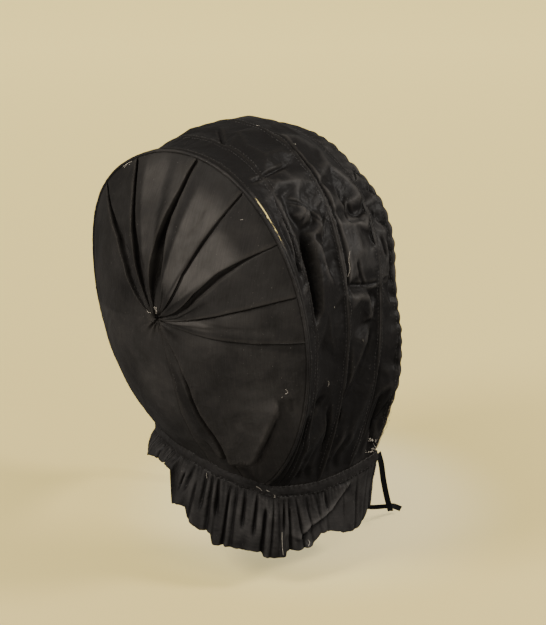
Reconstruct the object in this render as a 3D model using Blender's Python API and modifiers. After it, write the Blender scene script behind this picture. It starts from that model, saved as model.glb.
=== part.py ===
# A calash: a folding hood of black silk, held up by five bent canes. Metres, +Z up.
# The wearer faces -Y, the wearer's left is +X, and the origin is where the crown rests on the head.
import math
from collections import namedtuple

import bmesh
import bpy
import numpy as np

NAME = "calash"
MM = 0.001
SEAT_HEIGHT = 0.315        # from the neck edge up to the top of the head
CLOTH = 0.0012             # silk with its gathers
BAND_WALL = 0.0024         # two layers and the seam allowances between them
BAND_HEIGHT = 0.012
CANE_RADIUS = 0.0015
CANE_SLACK = 0.0008         # between the crest of the cloth and the cane; the cloth's flanks lie closer
PIPING_RADIUS = 0.0016
RIBBON_WALL = 0.001
GAP = 0.0004               # between pieces that touch
SEAM_GAP = 0.0007          # between the piping and the cloth on both sides of it

# The neck line from the wearer's left front corner round the nape to the right front corner, in mm.
# drop is how far the ruffle hangs under it, and flare how far its hem stands out.
Station = namedtuple("Station", "x y height drop flare")
NECK = [
    Station(115, -74, 0, 36, 5),
    Station(116, -66, 0, 36, 6),       # hoop 5
    Station(114, -42, 0, 35, 8),       # hoop 4
    Station(109, -14, 2, 35, 9),       # hoop 3
    Station(97, 14, 4, 37, 9),         # hoop 2
    Station(84, 27, 5, 44, 10),        # hoop 1
    Station(38, 53, 11, 68, 13),
    Station(1, 66, 14, 74, 14),        # nape
    Station(-43, 61, 5, 74, 14),
    Station(-79, 44, -5, 74, 14),      # hoop 1
    Station(-91, 28, -9, 72, 13),      # hoop 2
    Station(-105, -5, -12, 64, 8),     # hoop 3
    Station(-113, -44, -10, 68, 1),    # hoop 4
    Station(-118, -78, -5, 66, -7),    # hoop 5
    Station(-118, -86, -4, 65, -8),
]
LEFT_FOOT = 5              # the station of hoop 1 on the wearer's left; the others come before it
RIGHT_FOOT = 9             # and on the right, where they come after it

# The hoops from back to front, in mm: the top, the half width at the widest place, how far up that is, and
# how far the sides bow back.
Hoop = namedtuple("Hoop", "top_y top_height half_width wide_share bow")
HOOPS = [
    Hoop(68, 329, 138, 0.475, 0),
    Hoop(29, 331, 131, 0.454, 7),
    Hoop(-28, 334, 131, 0.453, 1),
    Hoop(-91, 315, 134, 0.455, 0),
    Hoop(-116, 307, 137, 0.43, 0),
]

# Where age has pushed the hoops out of true: around a side, over a spread, by mm outward for hoops 1 to 5.
Bulge = namedtuple("Bulge", "side spread amounts")
BULGES = [
    Bulge(-0.38, 0.18, (12.5, 12, 11, 10, 8)),
    Bulge(-0.14, 0.09, (1, 5, 5, 4, 3)),
    Bulge(0.20, 0.13, (0, 0, 0, -3, -6)),
    Bulge(0.62, 0.14, (0, 0, 0, -3, -9)),
    Bulge(0.82, 0.08, (0, 0, 0, 2, 4)),
]
PUFF = (0.0, 6.0, 12.0, 2.0)   # mm that each gore puffs up over the crown
PUFF_SIDE = -0.05
PUFF_SPREAD = 0.28

# The hood's cloth from the back seam to the front edge. Each row lies between a hoop and the next one,
# share of the way and ahead mm further on; lift is how far it stands out, and gather how deep it ripples.
Row = namedtuple("Row", "hoop share ahead lift gather")
ROWS = [
    Row(0, 0.00, PIPING_RADIUS / MM + SEAM_GAP / MM, 0.0, 0.0),
    Row(0, 0.00, 6.5, 1.0, 0.0),       # over hoop 1
    Row(0, 0.35, 3.0, -1.5, 1.0),
    Row(0, 0.70, 0.0, -2.0, 1.4),
    Row(1, 0.00, 0.0, 1.0, 0.8),       # over hoop 2
    Row(1, 0.14, 0.0, -0.8, 1.4),
    Row(1, 0.50, 0.0, -5.0, 2.4),
    Row(1, 0.86, 0.0, -0.8, 1.4),
    Row(2, 0.00, 0.0, 1.0, 0.8),       # over hoop 3
    Row(2, 0.12, 0.0, -0.8, 1.4),
    Row(2, 0.50, 0.0, -5.0, 2.4),
    Row(2, 0.88, 0.0, -0.8, 1.4),
    Row(3, 0.00, 0.0, 1.0, 0.8),       # over hoop 4
    Row(3, 0.35, 0.0, -1.6, 1.4),
    Row(3, 0.70, 0.0, -1.0, 1.2),
    Row(3, 1.00, 0.0, 1.0, 0.8),       # over hoop 5
    Row(3, 1.00, 3.6, 0.2, 0.8),       # front hem
]
OVER_HOOPS = [1, 4, 8, 12, 15]
HOOD_COLUMNS = 72
HOOD_GATHERS = 24
VALLEY_DEPTH = 0.009       # the deep fold at each side between hoops 2 and 3
VALLEY_HOOP = 1
VALLEY_PLACE = 0.48        # share of the way from the top of the hoop to its foot
VALLEY_SPREAD = 0.14
FOOT_BLEND = 0.2           # the last share of each side, where the cloth comes to the neck line
CANE_POINTS = 37
PIPING_POINTS = 49

# The pleats of the back panel by their angle from the top, positive towards the wearer's right, and depth in mm.
Pleat = namedtuple("Pleat", "angle depth")
PLEATS = [
    Pleat(-154, 0.5), Pleat(-122, 1.5), Pleat(-92, 2.0), Pleat(-66, 3.0), Pleat(-43, 5.0),
    Pleat(-25, 6.0), Pleat(-7, 2.5), Pleat(6, 8.0), Pleat(28, 7.0), Pleat(50, 7.5),
    Pleat(73, 6.0), Pleat(95, 2.5), Pleat(125, 1.5), Pleat(153, 0.5), Pleat(166, 5.0), Pleat(180, 1.0),
]
PLEAT_TURN = 3.0           # degrees between the edge of a pleat and the fold under it
PLEAT_STEP = 9.0           # degrees between plain columns at most
PLEAT_CENTRE = (0.0, 0.118, 0.176)
PLEAT_RINGS = [0.03, 0.1, 0.22, 0.42, 0.64, 0.84, 1.0]
PLEAT_FULL = 0.22          # share of the radius where the pleats are deepest
PANEL_CROWN = 2.2          # how square the back's crown is

BAND_STEPS = 52
RUFFLE_GATHERS = 40
RUFFLE_ROWS = [0.0, 0.14, 0.55, 1.0]
RUFFLE_DEPTH = 0.0032

# The ribbon ties from the band's front corners: their middle lines in mm above the neck edge, and how far
# the ribbon is turned up from level, in degrees. The left one passes under the chin to the end of the right one.
RIBBON_WIDTH = 0.006
TIE_RIGHT = [(-118, -89.0, -7, 90), (-116, -97, -24, 90), (-112, -107, -47, 90), (-108, -119, -72, 90),
             (-104, -131, -93, 90), (-103, -134, -98, 90)]
TIE_LEFT = [(115, -75.1, -2, 0), (112, -82, -24, 0), (98, -90, -50, 0), (68, -100, -72, 0), (25, -107, -86, 0),
            (-20, -111, -92, 0), (-58, -114, -94, 0), (-84, -120, -94, 0), (-98.5, -132, -93, 0),
            (-98, -143, -97, 15), (-96, -153, -103, 40), (-96, -162, -109, 60)]

MATERIALS = {              # base colour, roughness
    "silk": ((0.035, 0.032, 0.030), 0.42),
    "ribbon": ((0.045, 0.042, 0.040), 0.40),
    "cane": ((0.48, 0.36, 0.20), 0.55),
}


def material(name):
    made = bpy.data.materials.get(name) or bpy.data.materials.new(name)
    made.use_nodes = True
    shader = made.node_tree.nodes["Principled BSDF"]
    colour, roughness = MATERIALS[name]
    shader.inputs["Base Color"].default_value = (*colour, 1.0)
    shader.inputs["Roughness"].default_value = roughness
    shader.inputs["Metallic"].default_value = 0.0
    return made


def seated(points):
    """Heights above the neck edge become heights above the head seat."""
    return np.asarray(points, float) - np.array([0.0, 0.0, SEAT_HEIGHT])


def place(name, data, finish):
    made = bpy.data.objects.new(name, data)
    data.materials.append(material(finish))
    bpy.data.collections[NAME].objects.link(made)
    return made


def curve_through(points, at):
    """A smooth curve through rows of numbers, read at a place counted in rows."""
    points = np.asarray(points, float)
    last = len(points) - 1
    start = int(np.clip(math.floor(at), 0, last - 1))
    t = at - start
    before = points[start - 1] if start > 0 else 2 * points[0] - points[1]
    after = points[start + 2] if start + 2 <= last else 2 * points[last] - points[last - 1]
    a, b = points[start], points[start + 1]
    return 0.5 * (2 * a + (b - before) * t + (2 * before - 5 * a + 4 * b - after) * t ** 2
                  + (3 * a - before - 3 * b + after) * t ** 3)


def neck(at):
    """The neck line's point, the ruffle's drop and its flare at a place counted in stations."""
    read = curve_through(NECK, at) * MM
    return read[:3], read[3], read[4]


def neck_outward(at, step=0.05):
    """The level direction that points away from the neck."""
    along = neck(min(at + step, len(NECK) - 1))[0] - neck(max(at - step, 0))[0]
    out = np.array([along[1], -along[0], 0.0])
    out *= np.sign(out @ (neck(at)[0] * (1, 1, 0) + (0, 0.03, 0))) or 1
    return out / np.linalg.norm(out)


def hoop_point(index, side):
    """A point of a hoop: side runs from -1 at the left foot over 0 at the top to 1 at the right foot."""
    hoop = HOOPS[index]
    right = np.array(NECK[RIGHT_FOOT + index][:3], float)
    foot = right if side > 0 else np.array(NECK[LEFT_FOOT - index][:3], float)
    last = math.pi - math.asin(abs(foot[0]) / hoop.half_width)
    turn = abs(side) * last
    low = max((turn - math.pi / 2) / (last - math.pi / 2), 0.0)
    base = right + (foot - right) * low
    spread = 1 - hoop.wide_share if turn < math.pi / 2 else hoop.wide_share / abs(math.cos(last))
    up = hoop.wide_share + spread * math.cos(turn)
    out = sum(b.amounts[index] * math.exp(-((side - b.side) / b.spread) ** 2) for b in BULGES)
    x = -math.copysign((hoop.half_width + out) * math.sin(turn), side)
    y = base[1] + (hoop.top_y - base[1]) * up + hoop.bow * math.sin(math.pi * abs(side)) ** 2
    height = base[2] + (hoop.top_height - base[2]) * up + out * math.cos(turn)
    return np.array([x, y, height]) * MM


def normals(grid):
    """Directions out of a grid of points, away from the middle of the hood."""
    along, across = np.gradient(grid, axis=0), np.gradient(grid, axis=1)
    out = np.cross(along, across)
    out /= np.maximum(np.linalg.norm(out, axis=2, keepdims=True), 1e-12)
    middle = np.array([0.0, grid[..., 1].mean(), HOOPS[0].top_height * MM / 2])
    return out * np.sign(((grid - middle) * out).sum(2, keepdims=True))


def hood_grid(sides, gathered=1.0):
    """The outer face of the hood's cloth: a list of rows by the given places along the hoops."""
    flat = np.zeros((len(ROWS), len(sides), 3))
    for i, row in enumerate(ROWS):
        for j, side in enumerate(sides):
            back, front = hoop_point(row.hoop, side), hoop_point(row.hoop + 1, side)
            ahead = (front - back) / np.linalg.norm(front - back)
            flat[i, j] = back + (front - back) * row.share + ahead * row.ahead * MM
    out = normals(flat)
    ends = {sign: hood_foot(sign) for sign in (-1, 1)}
    for i, row in enumerate(ROWS):
        between = 4 * row.share * (1 - row.share)
        hollow = between if row.hoop == VALLEY_HOOP else 0.0
        for j, side in enumerate(sides):
            puff = PUFF[row.hoop] * MM * between * math.exp(-((side - PUFF_SIDE) / PUFF_SPREAD) ** 2)
            free = 1 - max(abs(side) - (1 - FOOT_BLEND), 0) / FOOT_BLEND
            phase = 2 * math.pi * HOOD_GATHERS * (side + 1) / 2 + 0.9 * i
            ripple = (1 + math.cos(phase)) / 2 if i in OVER_HOOPS else math.cos(phase)
            valley = math.exp(-((abs(side) - VALLEY_PLACE) / VALLEY_SPREAD) ** 2) * hollow * VALLEY_DEPTH
            lift = (row.lift + row.gather * ripple * free * gathered) * MM + puff - valley
            flat[i, j] += out[i, j] * lift
    for i in range(len(ROWS)):
        for j, side in enumerate(sides):
            pull = max(abs(side) - (1 - FOOT_BLEND), 0) / FOOT_BLEND
            sign = 1 if side > 0 else -1
            tip = flat[i, 0] if side < 0 else flat[i, -1]
            if pull > 0 and abs(side) < 1:
                flat[i, j] += (ends[sign][i] - tip) * pull ** 2
    for sign, j in ((-1, 0), (1, -1)):
        flat[:, j] = ends[sign]
    return flat


def hood_foot(sign):
    """Where each row of the hood meets the neck line, just above the band."""
    found = []
    for row in ROWS:
        start, step = (RIGHT_FOOT, 1) if sign > 0 else (LEFT_FOOT, -1)
        at = start + step * row.hoop
        length = np.linalg.norm(neck(at + step)[0] - neck(at)[0])
        if row.share == 1:
            length = np.linalg.norm(neck(at + 2 * step)[0] - neck(at + step)[0])
        at += step * (row.share + row.ahead * MM / length)
        found.append(neck(at)[0] + (0, 0, GAP))
    return np.array(found)


def cloth(name, grid, outward, finish="silk", closed=False, wall=CLOTH):
    """A wall of cloth: a grid of points as its outer face, with its thickness behind it."""
    grid = seated(grid)
    shape = bmesh.new()
    points = [[shape.verts.new(p) for p in row] for row in grid]
    columns = len(points[0])
    for i in range(len(points) - 1):
        for j in range(columns if closed else columns - 1):
            k = (j + 1) % columns
            shape.faces.new((points[i][j], points[i][k], points[i + 1][k], points[i + 1][j]))
    shape.normal_update()
    if sum(f.normal.dot(outward(np.array(f.calc_center_median()))) for f in shape.faces) < 0:
        bmesh.ops.reverse_faces(shape, faces=shape.faces)
    mesh = bpy.data.meshes.new(name)
    shape.to_mesh(mesh)
    shape.free()
    mesh.shade_smooth()
    made = place(name, mesh, finish)
    solid = made.modifiers.new("wall", "SOLIDIFY")
    solid.thickness = wall
    solid.offset = -1
    solid.use_even_offset = False
    return made


def rod(name, points, radius, finish):
    """A round cane or cord along a line of points."""
    curve = bpy.data.curves.new(name, "CURVE")
    curve.dimensions = "3D"
    curve.bevel_depth = radius
    curve.bevel_resolution = 1
    curve.use_fill_caps = True
    line = curve.splines.new("POLY")
    points = seated(points)
    line.points.add(len(points) - 1)
    for point, place_at in zip(line.points, points):
        point.co = (*place_at, 1.0)
    return place(name, curve, finish)


def make_hood():
    sides = np.linspace(-1, 1, HOOD_COLUMNS + 1)
    cloth("hood", hood_grid(sides), lambda p: (p[0], 0, p[2] + SEAT_HEIGHT / 2))


def make_hoops():
    """Each cane lies under its ridge of the cloth, from foot to foot."""
    grid = hood_grid(np.linspace(-1, 1, CANE_POINTS), gathered=0.0)
    under = grid - normals(grid) * (CLOTH + CANE_RADIUS + CANE_SLACK)
    for number, row in enumerate(OVER_HOOPS):
        line = under[row]
        line[0, 2] += CANE_RADIUS
        line[-1, 2] += CANE_RADIUS
        rod(f"hoop_{number + 1}", line, CANE_RADIUS, "cane")


def back_outline():
    """The rim of the back panel: inside the piping along hoop 1, and along the neck line between its feet."""
    centre = np.array(PLEAT_CENTRE)
    inset = PIPING_RADIUS + SEAM_GAP
    arch = []
    for side in np.linspace(1, -1, 97):
        point = hoop_point(0, side)
        arch.append(point + (centre - point) / np.linalg.norm(centre - point) * inset)
    edge = [neck(at)[0] + (0, 0, GAP) for at in np.linspace(LEFT_FOOT + 0.06, RIGHT_FOOT - 0.06, 33)]
    return np.array(arch[1:-1] + edge)


def panel_columns():
    """Angles of the panel's columns: each pleat has its edge and the fold under it, with plain ones between."""
    found = []
    for pleat, following in zip(PLEATS, PLEATS[1:] + [Pleat(PLEATS[0].angle + 360, PLEATS[0].depth)]):
        low, high = pleat.angle + PLEAT_TURN, following.angle
        steps = max(1, math.ceil((high - low) / PLEAT_STEP))
        for k in range(steps + 1):
            found.append((low + (high - low) * k / steps, following.depth * k / steps))
    return found


def make_back_panel():
    centre = np.array(PLEAT_CENTRE)
    rim = back_outline()
    turned = np.degrees(np.arctan2(-rim[:, 0], rim[:, 2] - centre[2]))
    order = np.argsort(turned)
    turned, rim = turned[order], rim[order]
    columns = panel_columns()
    grid = np.zeros((len(PLEAT_RINGS), len(columns), 3))
    for j, (angle, depth) in enumerate(columns):
        wrapped = (angle + 180) % 360 - 180
        edge = np.array([np.interp(wrapped, turned, rim[:, k], period=360) for k in range(3)])
        for i, ring in enumerate(PLEAT_RINGS):
            point = centre + (edge - centre) * ring
            point[1] = edge[1] + (centre[1] - edge[1]) * (1 - ring ** PANEL_CROWN)
            fade = min(ring / PLEAT_FULL, 1.0) * min((1 - ring) / 0.5, 1.0)
            point[1] += depth * MM * fade
            grid[i, j] = point
    cloth("back_panel", grid, lambda p: (0, 1, 0), closed=True)


def make_back_piping():
    line = [hoop_point(0, side) for side in np.linspace(-0.985, 0.985, PIPING_POINTS)]
    rod("back_piping", line, PIPING_RADIUS, "silk")


def make_neck_band():
    places = np.linspace(0, len(NECK) - 1, BAND_STEPS + 1)
    rows = []
    for height in (0.0, -BAND_HEIGHT):
        rows.append([neck(at)[0] + (0, 0, height) + neck_outward(at) * BAND_WALL / 2 for at in places])
    cloth("neck_band", np.array(rows), lambda p: (p[0], p[1] + 0.03, 0), wall=BAND_WALL)


def make_ruffle():
    places = np.linspace(0, len(NECK) - 1, 3 * RUFFLE_GATHERS + 1)
    rows = []
    for share in RUFFLE_ROWS:
        row = []
        for k, at in enumerate(places):
            point, drop, flare = neck(at)
            hang = drop - BAND_HEIGHT - GAP
            depth = RUFFLE_DEPTH * min(share / RUFFLE_ROWS[1], 1.0) * math.cos(2 * math.pi * k / 3)
            out = CLOTH / 2 + flare * share ** 0.8 + depth
            row.append(point - (0, 0, BAND_HEIGHT + GAP + hang * share) + neck_outward(at) * out)
        rows.append(row)
    cloth("ruffle", np.array(rows), lambda p: (p[0], p[1] + 0.03, 0))


def make_tie(name, route):
    """A narrow ribbon along its middle line."""
    steps = 2 * (len(route) - 1)
    read = np.array([curve_through(route, k * (len(route) - 1) / steps) for k in range(steps + 1)])
    line, turn = read[:, :3] * MM, np.radians(read[:, 3:])
    along = np.gradient(line, axis=0)
    level = np.cross(along, (0.0, 0.0, 1.0))
    level /= np.linalg.norm(level, axis=1, keepdims=True)
    upright = np.cross(level, along)
    upright /= np.linalg.norm(upright, axis=1, keepdims=True)
    half = (level * np.cos(turn) + upright * np.sin(turn)) * RIBBON_WIDTH / 2
    cloth(name, np.array([line - half, line + half]), lambda p: (1, 0, 1), "ribbon", wall=RIBBON_WALL)


def clear_scene():
    for old in list(bpy.data.objects):
        bpy.data.objects.remove(old)
    made = bpy.data.collections.get(NAME) or bpy.data.collections.new(NAME)
    if made.name not in bpy.context.scene.collection.children:
        bpy.context.scene.collection.children.link(made)


def main():
    clear_scene()
    make_back_panel()
    make_back_piping()
    make_hood()
    make_hoops()
    make_neck_band()
    make_ruffle()
    make_tie("tie_right", TIE_RIGHT)
    make_tie("tie_left", TIE_LEFT)


main()
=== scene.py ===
# A calash: a folding hood of worn black silk on five canes, as it stands when worn.
# Metres, +Z up. The wearer faces -Y, the wearer's left is +X, and the origin is the head seat.
import math
from collections import namedtuple

import bpy
import mathutils.geometry
import numpy as np
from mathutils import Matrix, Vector


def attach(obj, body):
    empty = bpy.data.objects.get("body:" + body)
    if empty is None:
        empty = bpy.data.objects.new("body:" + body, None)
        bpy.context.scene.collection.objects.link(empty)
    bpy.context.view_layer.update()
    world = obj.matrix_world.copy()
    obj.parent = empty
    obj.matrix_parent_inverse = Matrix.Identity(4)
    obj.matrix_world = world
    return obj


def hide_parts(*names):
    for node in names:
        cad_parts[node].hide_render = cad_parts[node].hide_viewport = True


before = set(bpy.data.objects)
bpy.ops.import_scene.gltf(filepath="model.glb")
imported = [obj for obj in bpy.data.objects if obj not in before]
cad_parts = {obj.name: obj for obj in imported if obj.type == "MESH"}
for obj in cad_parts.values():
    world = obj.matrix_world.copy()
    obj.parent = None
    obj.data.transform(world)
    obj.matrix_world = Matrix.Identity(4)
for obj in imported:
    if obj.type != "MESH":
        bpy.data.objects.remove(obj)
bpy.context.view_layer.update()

mm = 0.001
seatHeight = 0.315          # from the neck edge up to the origin
print("frame loaded")

# The shape that all the cloth follows
Station = namedtuple("Station", "x y height drop flare")
neckLine = np.array([
    Station(115, -74, 0, 36, 5), Station(116, -66, 0, 36, 6), Station(114, -42, 0, 35, 8),
    Station(109, -14, 2, 35, 9), Station(97, 14, 4, 37, 9), Station(84, 27, 5, 44, 10),
    Station(38, 53, 11, 68, 13), Station(1, 66, 14, 74, 14), Station(-43, 61, 5, 74, 14),
    Station(-79, 44, -5, 74, 14), Station(-91, 28, -9, 72, 13), Station(-105, -5, -12, 64, 8),
    Station(-113, -44, -10, 68, 1), Station(-118, -78, -5, 66, -7), Station(-118, -86, -4, 65, -8)], float)
leftFoot = 5                # the station of hoop 1 on the left; the other hoops come before it
rightFoot = 9               # and on the right, where they come after it
lastStation = len(neckLine) - 1

Hoop = namedtuple("Hoop", "topY topHeight halfWidth wideShare bow")
hoops = [Hoop(68, 329, 138, 0.475, 0), Hoop(29, 331, 131, 0.454, 7), Hoop(-28, 334, 131, 0.453, 1),
         Hoop(-91, 315, 134, 0.455, 0), Hoop(-116, 307, 137, 0.43, 0)]
# Where age has pushed the hoops out of true: around a side, over a spread, by mm outward for hoops 1 to 5.
Bulge = namedtuple("Bulge", "side spread amounts")
bulges = [Bulge(-0.38, 0.18, (12.5, 12, 11, 10, 8)), Bulge(-0.14, 0.09, (1, 5, 5, 4, 3)),
          Bulge(0.20, 0.13, (0, 0, 0, -3, -6)), Bulge(0.62, 0.14, (0, 0, 0, -3, -9)),
          Bulge(0.82, 0.08, (0, 0, 0, 2, 4))]


def smooth(t):
    t = np.clip(t, 0.0, 1.0)
    return t * t * (3 - 2 * t)


# A smooth curve through rows of numbers, read at places counted in rows.
def through(rows, at):
    rows = np.asarray(rows, float)
    at = np.clip(np.asarray(at, float), 0, len(rows) - 1)
    start = np.clip(np.floor(at).astype(int), 0, len(rows) - 2)
    t = (at - start)[..., None]
    padded = np.vstack([2 * rows[0] - rows[1], rows, 2 * rows[-1] - rows[-2]])
    a, b, c, d = (padded[start + k] for k in range(4))
    return 0.5 * (2 * b + (c - a) * t + (2 * a - 5 * b + 4 * c - d) * t ** 2 + (3 * b - a - 3 * c + d)
                  * t ** 3)


def neckPoint(at):
    return through(neckLine, at)[..., :3]


# The level direction away from the neck.
def neckOut(at):
    along = neckPoint(np.minimum(at + 0.05, lastStation)) - neckPoint(np.maximum(at - 0.05, 0))
    out = np.stack([along[..., 1], -along[..., 0], np.zeros(along.shape[:-1])], -1)
    toward = (out * (neckPoint(at) * (1, 1, 0) + (0, 30, 0))).sum(-1, keepdims=True)
    return out * np.where(toward < 0, -1, 1) / np.linalg.norm(out, axis=-1, keepdims=True)


# Points of a hoop in mm above the neck edge. side runs from -1, the left foot, to 1, the right one.
def hoopPoint(index, side):
    hoop = hoops[index]
    side = np.asarray(side, float)
    right, left = neckLine[rightFoot + index][:3], neckLine[leftFoot - index][:3]
    foot = np.where(side[..., None] > 0, right, left)
    last = math.pi - np.arcsin(np.abs(foot[..., 0]) / hoop.halfWidth)
    turn = np.abs(side) * last
    low = np.maximum((turn - math.pi / 2) / (last - math.pi / 2), 0)[..., None]
    base = right + (foot - right) * low
    spread = np.where(turn < math.pi / 2, 1 - hoop.wideShare, hoop.wideShare / np.abs(np.cos(last)))
    up = hoop.wideShare + spread * np.cos(turn)
    out = sum(b.amounts[index] * np.exp(-((side - b.side) / b.spread) ** 2) for b in bulges)
    x = -np.sign(side) * (hoop.halfWidth + out) * np.sin(turn)
    y = base[..., 1] + (hoop.topY - base[..., 1]) * up + hoop.bow * np.sin(math.pi * np.abs(side)) ** 2
    height = base[..., 2] + (hoop.topHeight - base[..., 2]) * up + out * np.cos(turn)
    return np.stack([x, y, height], -1)


# The hood's plain surface. along counts hoops: 2.5 is halfway between hoops 3 and 4.
def hoodPoint(along, side):
    along, side = np.broadcast_arrays(np.asarray(along, float), np.asarray(side, float))
    made = np.zeros(along.shape + (3,))
    gores = np.clip(np.floor(along).astype(int), 0, 3)
    for gore in np.unique(gores):
        here = gores == gore
        share, sides = (along[here] - gore)[:, None], side[here]
        back, front = hoopPoint(gore, sides), hoopPoint(gore + 1, sides)
        point = back + (front - back) * share
        for sign, start in ((-1, leftFoot), (1, rightFoot)):
            tips = [hoopPoint(gore + k, np.array([float(sign)]))[0] for k in (0, 1)]
            foot = neckPoint(start + sign * (gore + share[:, 0]))
            pull = (np.clip((sides * sign - 0.8) / 0.2, 0, 1) ** 2)[:, None]
            point = point + (foot - tips[0] - (tips[1] - tips[0]) * share) * pull
        made[here] = point
    return made


# Folds
# Directions out of a grid of points, away from the middle of the hood.
def outOf(grid):
    out = np.cross(np.gradient(grid, axis=0), np.gradient(grid, axis=1))
    out /= np.maximum(np.linalg.norm(out, axis=2, keepdims=True), 1e-9)
    middle = np.array([0.0, grid[..., 1].mean(), 165.0])
    return out * np.sign(((grid - middle) * out).sum(2, keepdims=True))


def blurred(field, times=1):
    for _ in range(times):
        for axis in (0, 1):
            size = field.shape[axis]
            before = np.take(field, np.maximum(np.arange(size) - 1, 0), axis)
            after = np.take(field, np.minimum(np.arange(size) + 1, size - 1), axis)
            field = (before + 2 * field + after) / 4
    return field


# Soft swellings of a given size in mm, from -1 to 1, the same for the same seed.
def swell(points, size, seed, stretch=(1, 1, 1)):
    table = np.random.default_rng(seed).uniform(-1, 1, (24, 24, 24))
    at = points / (np.array(stretch) * size) + 400.3
    cell = np.floor(at).astype(int)
    t = smooth(at - cell)
    total = 0.0
    for corner in range(8):
        step = np.array([corner & 1, corner >> 1 & 1, corner >> 2 & 1])
        weight = np.where(step, t, 1 - t).prod(-1)
        total = total + weight * table[tuple(np.moveaxis((cell + step) % 24, -1, 0))]
    return total


# Flat facets with sharp creases between them, as crushed silk has. u and v count facets.
def facets(u, v, seed):
    rng = np.random.default_rng(seed)
    table, slant = rng.uniform(-1, 1, (64, 64)), rng.random((64, 64)) < 0.5
    i, j = np.floor(u).astype(int), np.floor(v).astype(int)
    s, t = u - i, v - j
    a, b = table[i % 64, j % 64], table[(i + 1) % 64, j % 64]
    c, d = table[i % 64, (j + 1) % 64], table[(i + 1) % 64, (j + 1) % 64]
    one = np.where(s > t, a + (b - a) * s + (d - b) * t, a + (d - c) * s + (c - a) * t)
    two = np.where(s + t < 1, a + (b - a) * s + (c - a) * t, d + (c - d) * (1 - s) + (b - d) * (1 - t))
    return np.where(slant[i % 64, j % 64], one, two)


# A single fold along a line of points: how far it lifts the cloth at each point of a grid, in mm.
# kind is valley, ridge, or step, whose height is on the line's right.
Fold = namedtuple("Fold", "kind width depth ends path")


def foldLift(points, out, fold, line):
    line = through(line, np.linspace(0, len(line) - 1, 8 * (len(line) - 1) + 1))
    reach = fold.width * (9 if fold.kind == "step" else 6) + 2
    near = ((points > line.min(0) - reach) & (points < line.max(0) + reach)).all(-1)
    lift = np.zeros(points.shape[:-1])
    if not near.any():
        return lift
    here, outHere = points[near], out[near]
    best, sideways, place = np.full(len(here), 1e9), np.zeros(len(here)), np.zeros(len(here))
    for k in range(len(line) - 1):
        step = line[k + 1] - line[k]
        length = max(np.linalg.norm(step), 1e-6)
        t = np.clip((here - line[k]) @ step / length ** 2, 0, 1)
        off = here - line[k] - t[:, None] * step
        far = np.linalg.norm(off, axis=1)
        closer = far < best
        best = np.where(closer, far, best)
        cross = (np.cross(step / length, outHere) * off).sum(1)
        sideways = np.where(closer, cross, sideways)
        place = np.where(closer, (k + t) / (len(line) - 1), place)
    x = best / fold.width
    fade = smooth(np.minimum(place, 1 - place) / fold.ends) if fold.ends else 1.0
    if fold.kind == "step":
        shape = np.sign(sideways) * smooth(np.abs(sideways) / 1.2) * np.exp(-x / 3)
    elif fold.kind == "ridge":
        shape = np.maximum(1 - x / 2.2, 0) ** 1.2
    else:
        shape = 0.22 * np.exp(-((x - 2.9) / 1.3) ** 2) - np.maximum(1 - x / 2.2, 0) ** 1.2
    lift[near] = shape * fade * fold.depth
    return lift


# Meshes
# A sheet of cloth from a grid of its outer face in mm above the neck edge, with its thickness behind it.
# cut is where there is no cloth, wear how worn it is, and fade how faded it is, which on the hood and ruffle
# also carries painted light and shade, by the grid's points.
def clothFrom(name, grid, outward, slotName, wall=0.45, closed=False, cut=None, wear=None, fade=None,
              threads=None):
    rows, columns = grid.shape[:2]
    around = columns if closed else columns - 1
    i, j = np.meshgrid(np.arange(rows - 1), np.arange(around), indexing="ij")
    k = (j + 1) % columns
    quads = np.stack([i * columns + j, i * columns + k, (i + 1) * columns + k, (i + 1) * columns + j], -1)
    keep = np.ones(quads.shape[:2], bool)
    if cut is not None:
        keep = ~(cut[:-1][:, j[0]] | cut[1:][:, j[0]])
    quads = quads[keep].reshape(-1, 4)
    points = grid.reshape(-1, 3) * mm - (0, 0, seatHeight)
    middle = points[quads].mean(1)
    face = np.cross(points[quads[:, 1]] - points[quads[:, 0]], points[quads[:, 3]] - points[quads[:, 0]])
    if (face * outward(middle)).sum() < 0:
        quads = quads[:, ::-1]
    used = np.unique(quads)
    renumber = np.zeros(len(points), int)
    renumber[used] = np.arange(len(used))
    mesh = bpy.data.meshes.new(name)
    mesh.from_pydata(points[used].tolist(), [], renumber[quads].tolist())
    # lengths along and across the cloth, in metres, for its weave
    run = np.linalg.norm(np.diff(grid, axis=1, prepend=grid[:, :1]), axis=2).mean(0).cumsum() * mm
    rise = np.linalg.norm(np.diff(grid, axis=0, prepend=grid[:1]), axis=2).mean(1).cumsum() * mm
    flat = np.stack(np.broadcast_arrays(run[None, :], rise[:, None]), -1) if threads is None else threads
    flat = flat.reshape(-1, 2)[used]
    place = np.zeros(len(mesh.loops), int)
    mesh.loops.foreach_get("vertex_index", place)
    mesh.uv_layers.new(name="cloth").data.foreach_set("uv", flat[place].ravel())
    for called, values in (("wear", wear), ("fade", fade)):
        kept = mesh.attributes.new(called, "FLOAT", "POINT")
        kept.data.foreach_set("value", np.zeros(len(used)) if values is None else values.reshape(-1)[used])
    mesh.shade_smooth()
    piece = bpy.data.objects.new(name, mesh)
    bpy.context.scene.collection.objects.link(piece)
    solid = piece.modifiers.new("wall", "SOLIDIFY")
    solid.thickness = wall * mm
    solid.offset = -1
    applied(piece)
    finishAs(piece, slotName)
    return piece


def applied(piece):
    seen = piece.evaluated_get(bpy.context.evaluated_depsgraph_get())
    mesh = bpy.data.meshes.new_from_object(seen)
    piece.modifiers.clear()
    piece.data = mesh
    mesh.name = piece.name


def finishAs(piece, slotName):
    piece.data.materials.clear()
    piece.data.materials.append(materials[slotName])
    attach(piece, "root")


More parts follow.
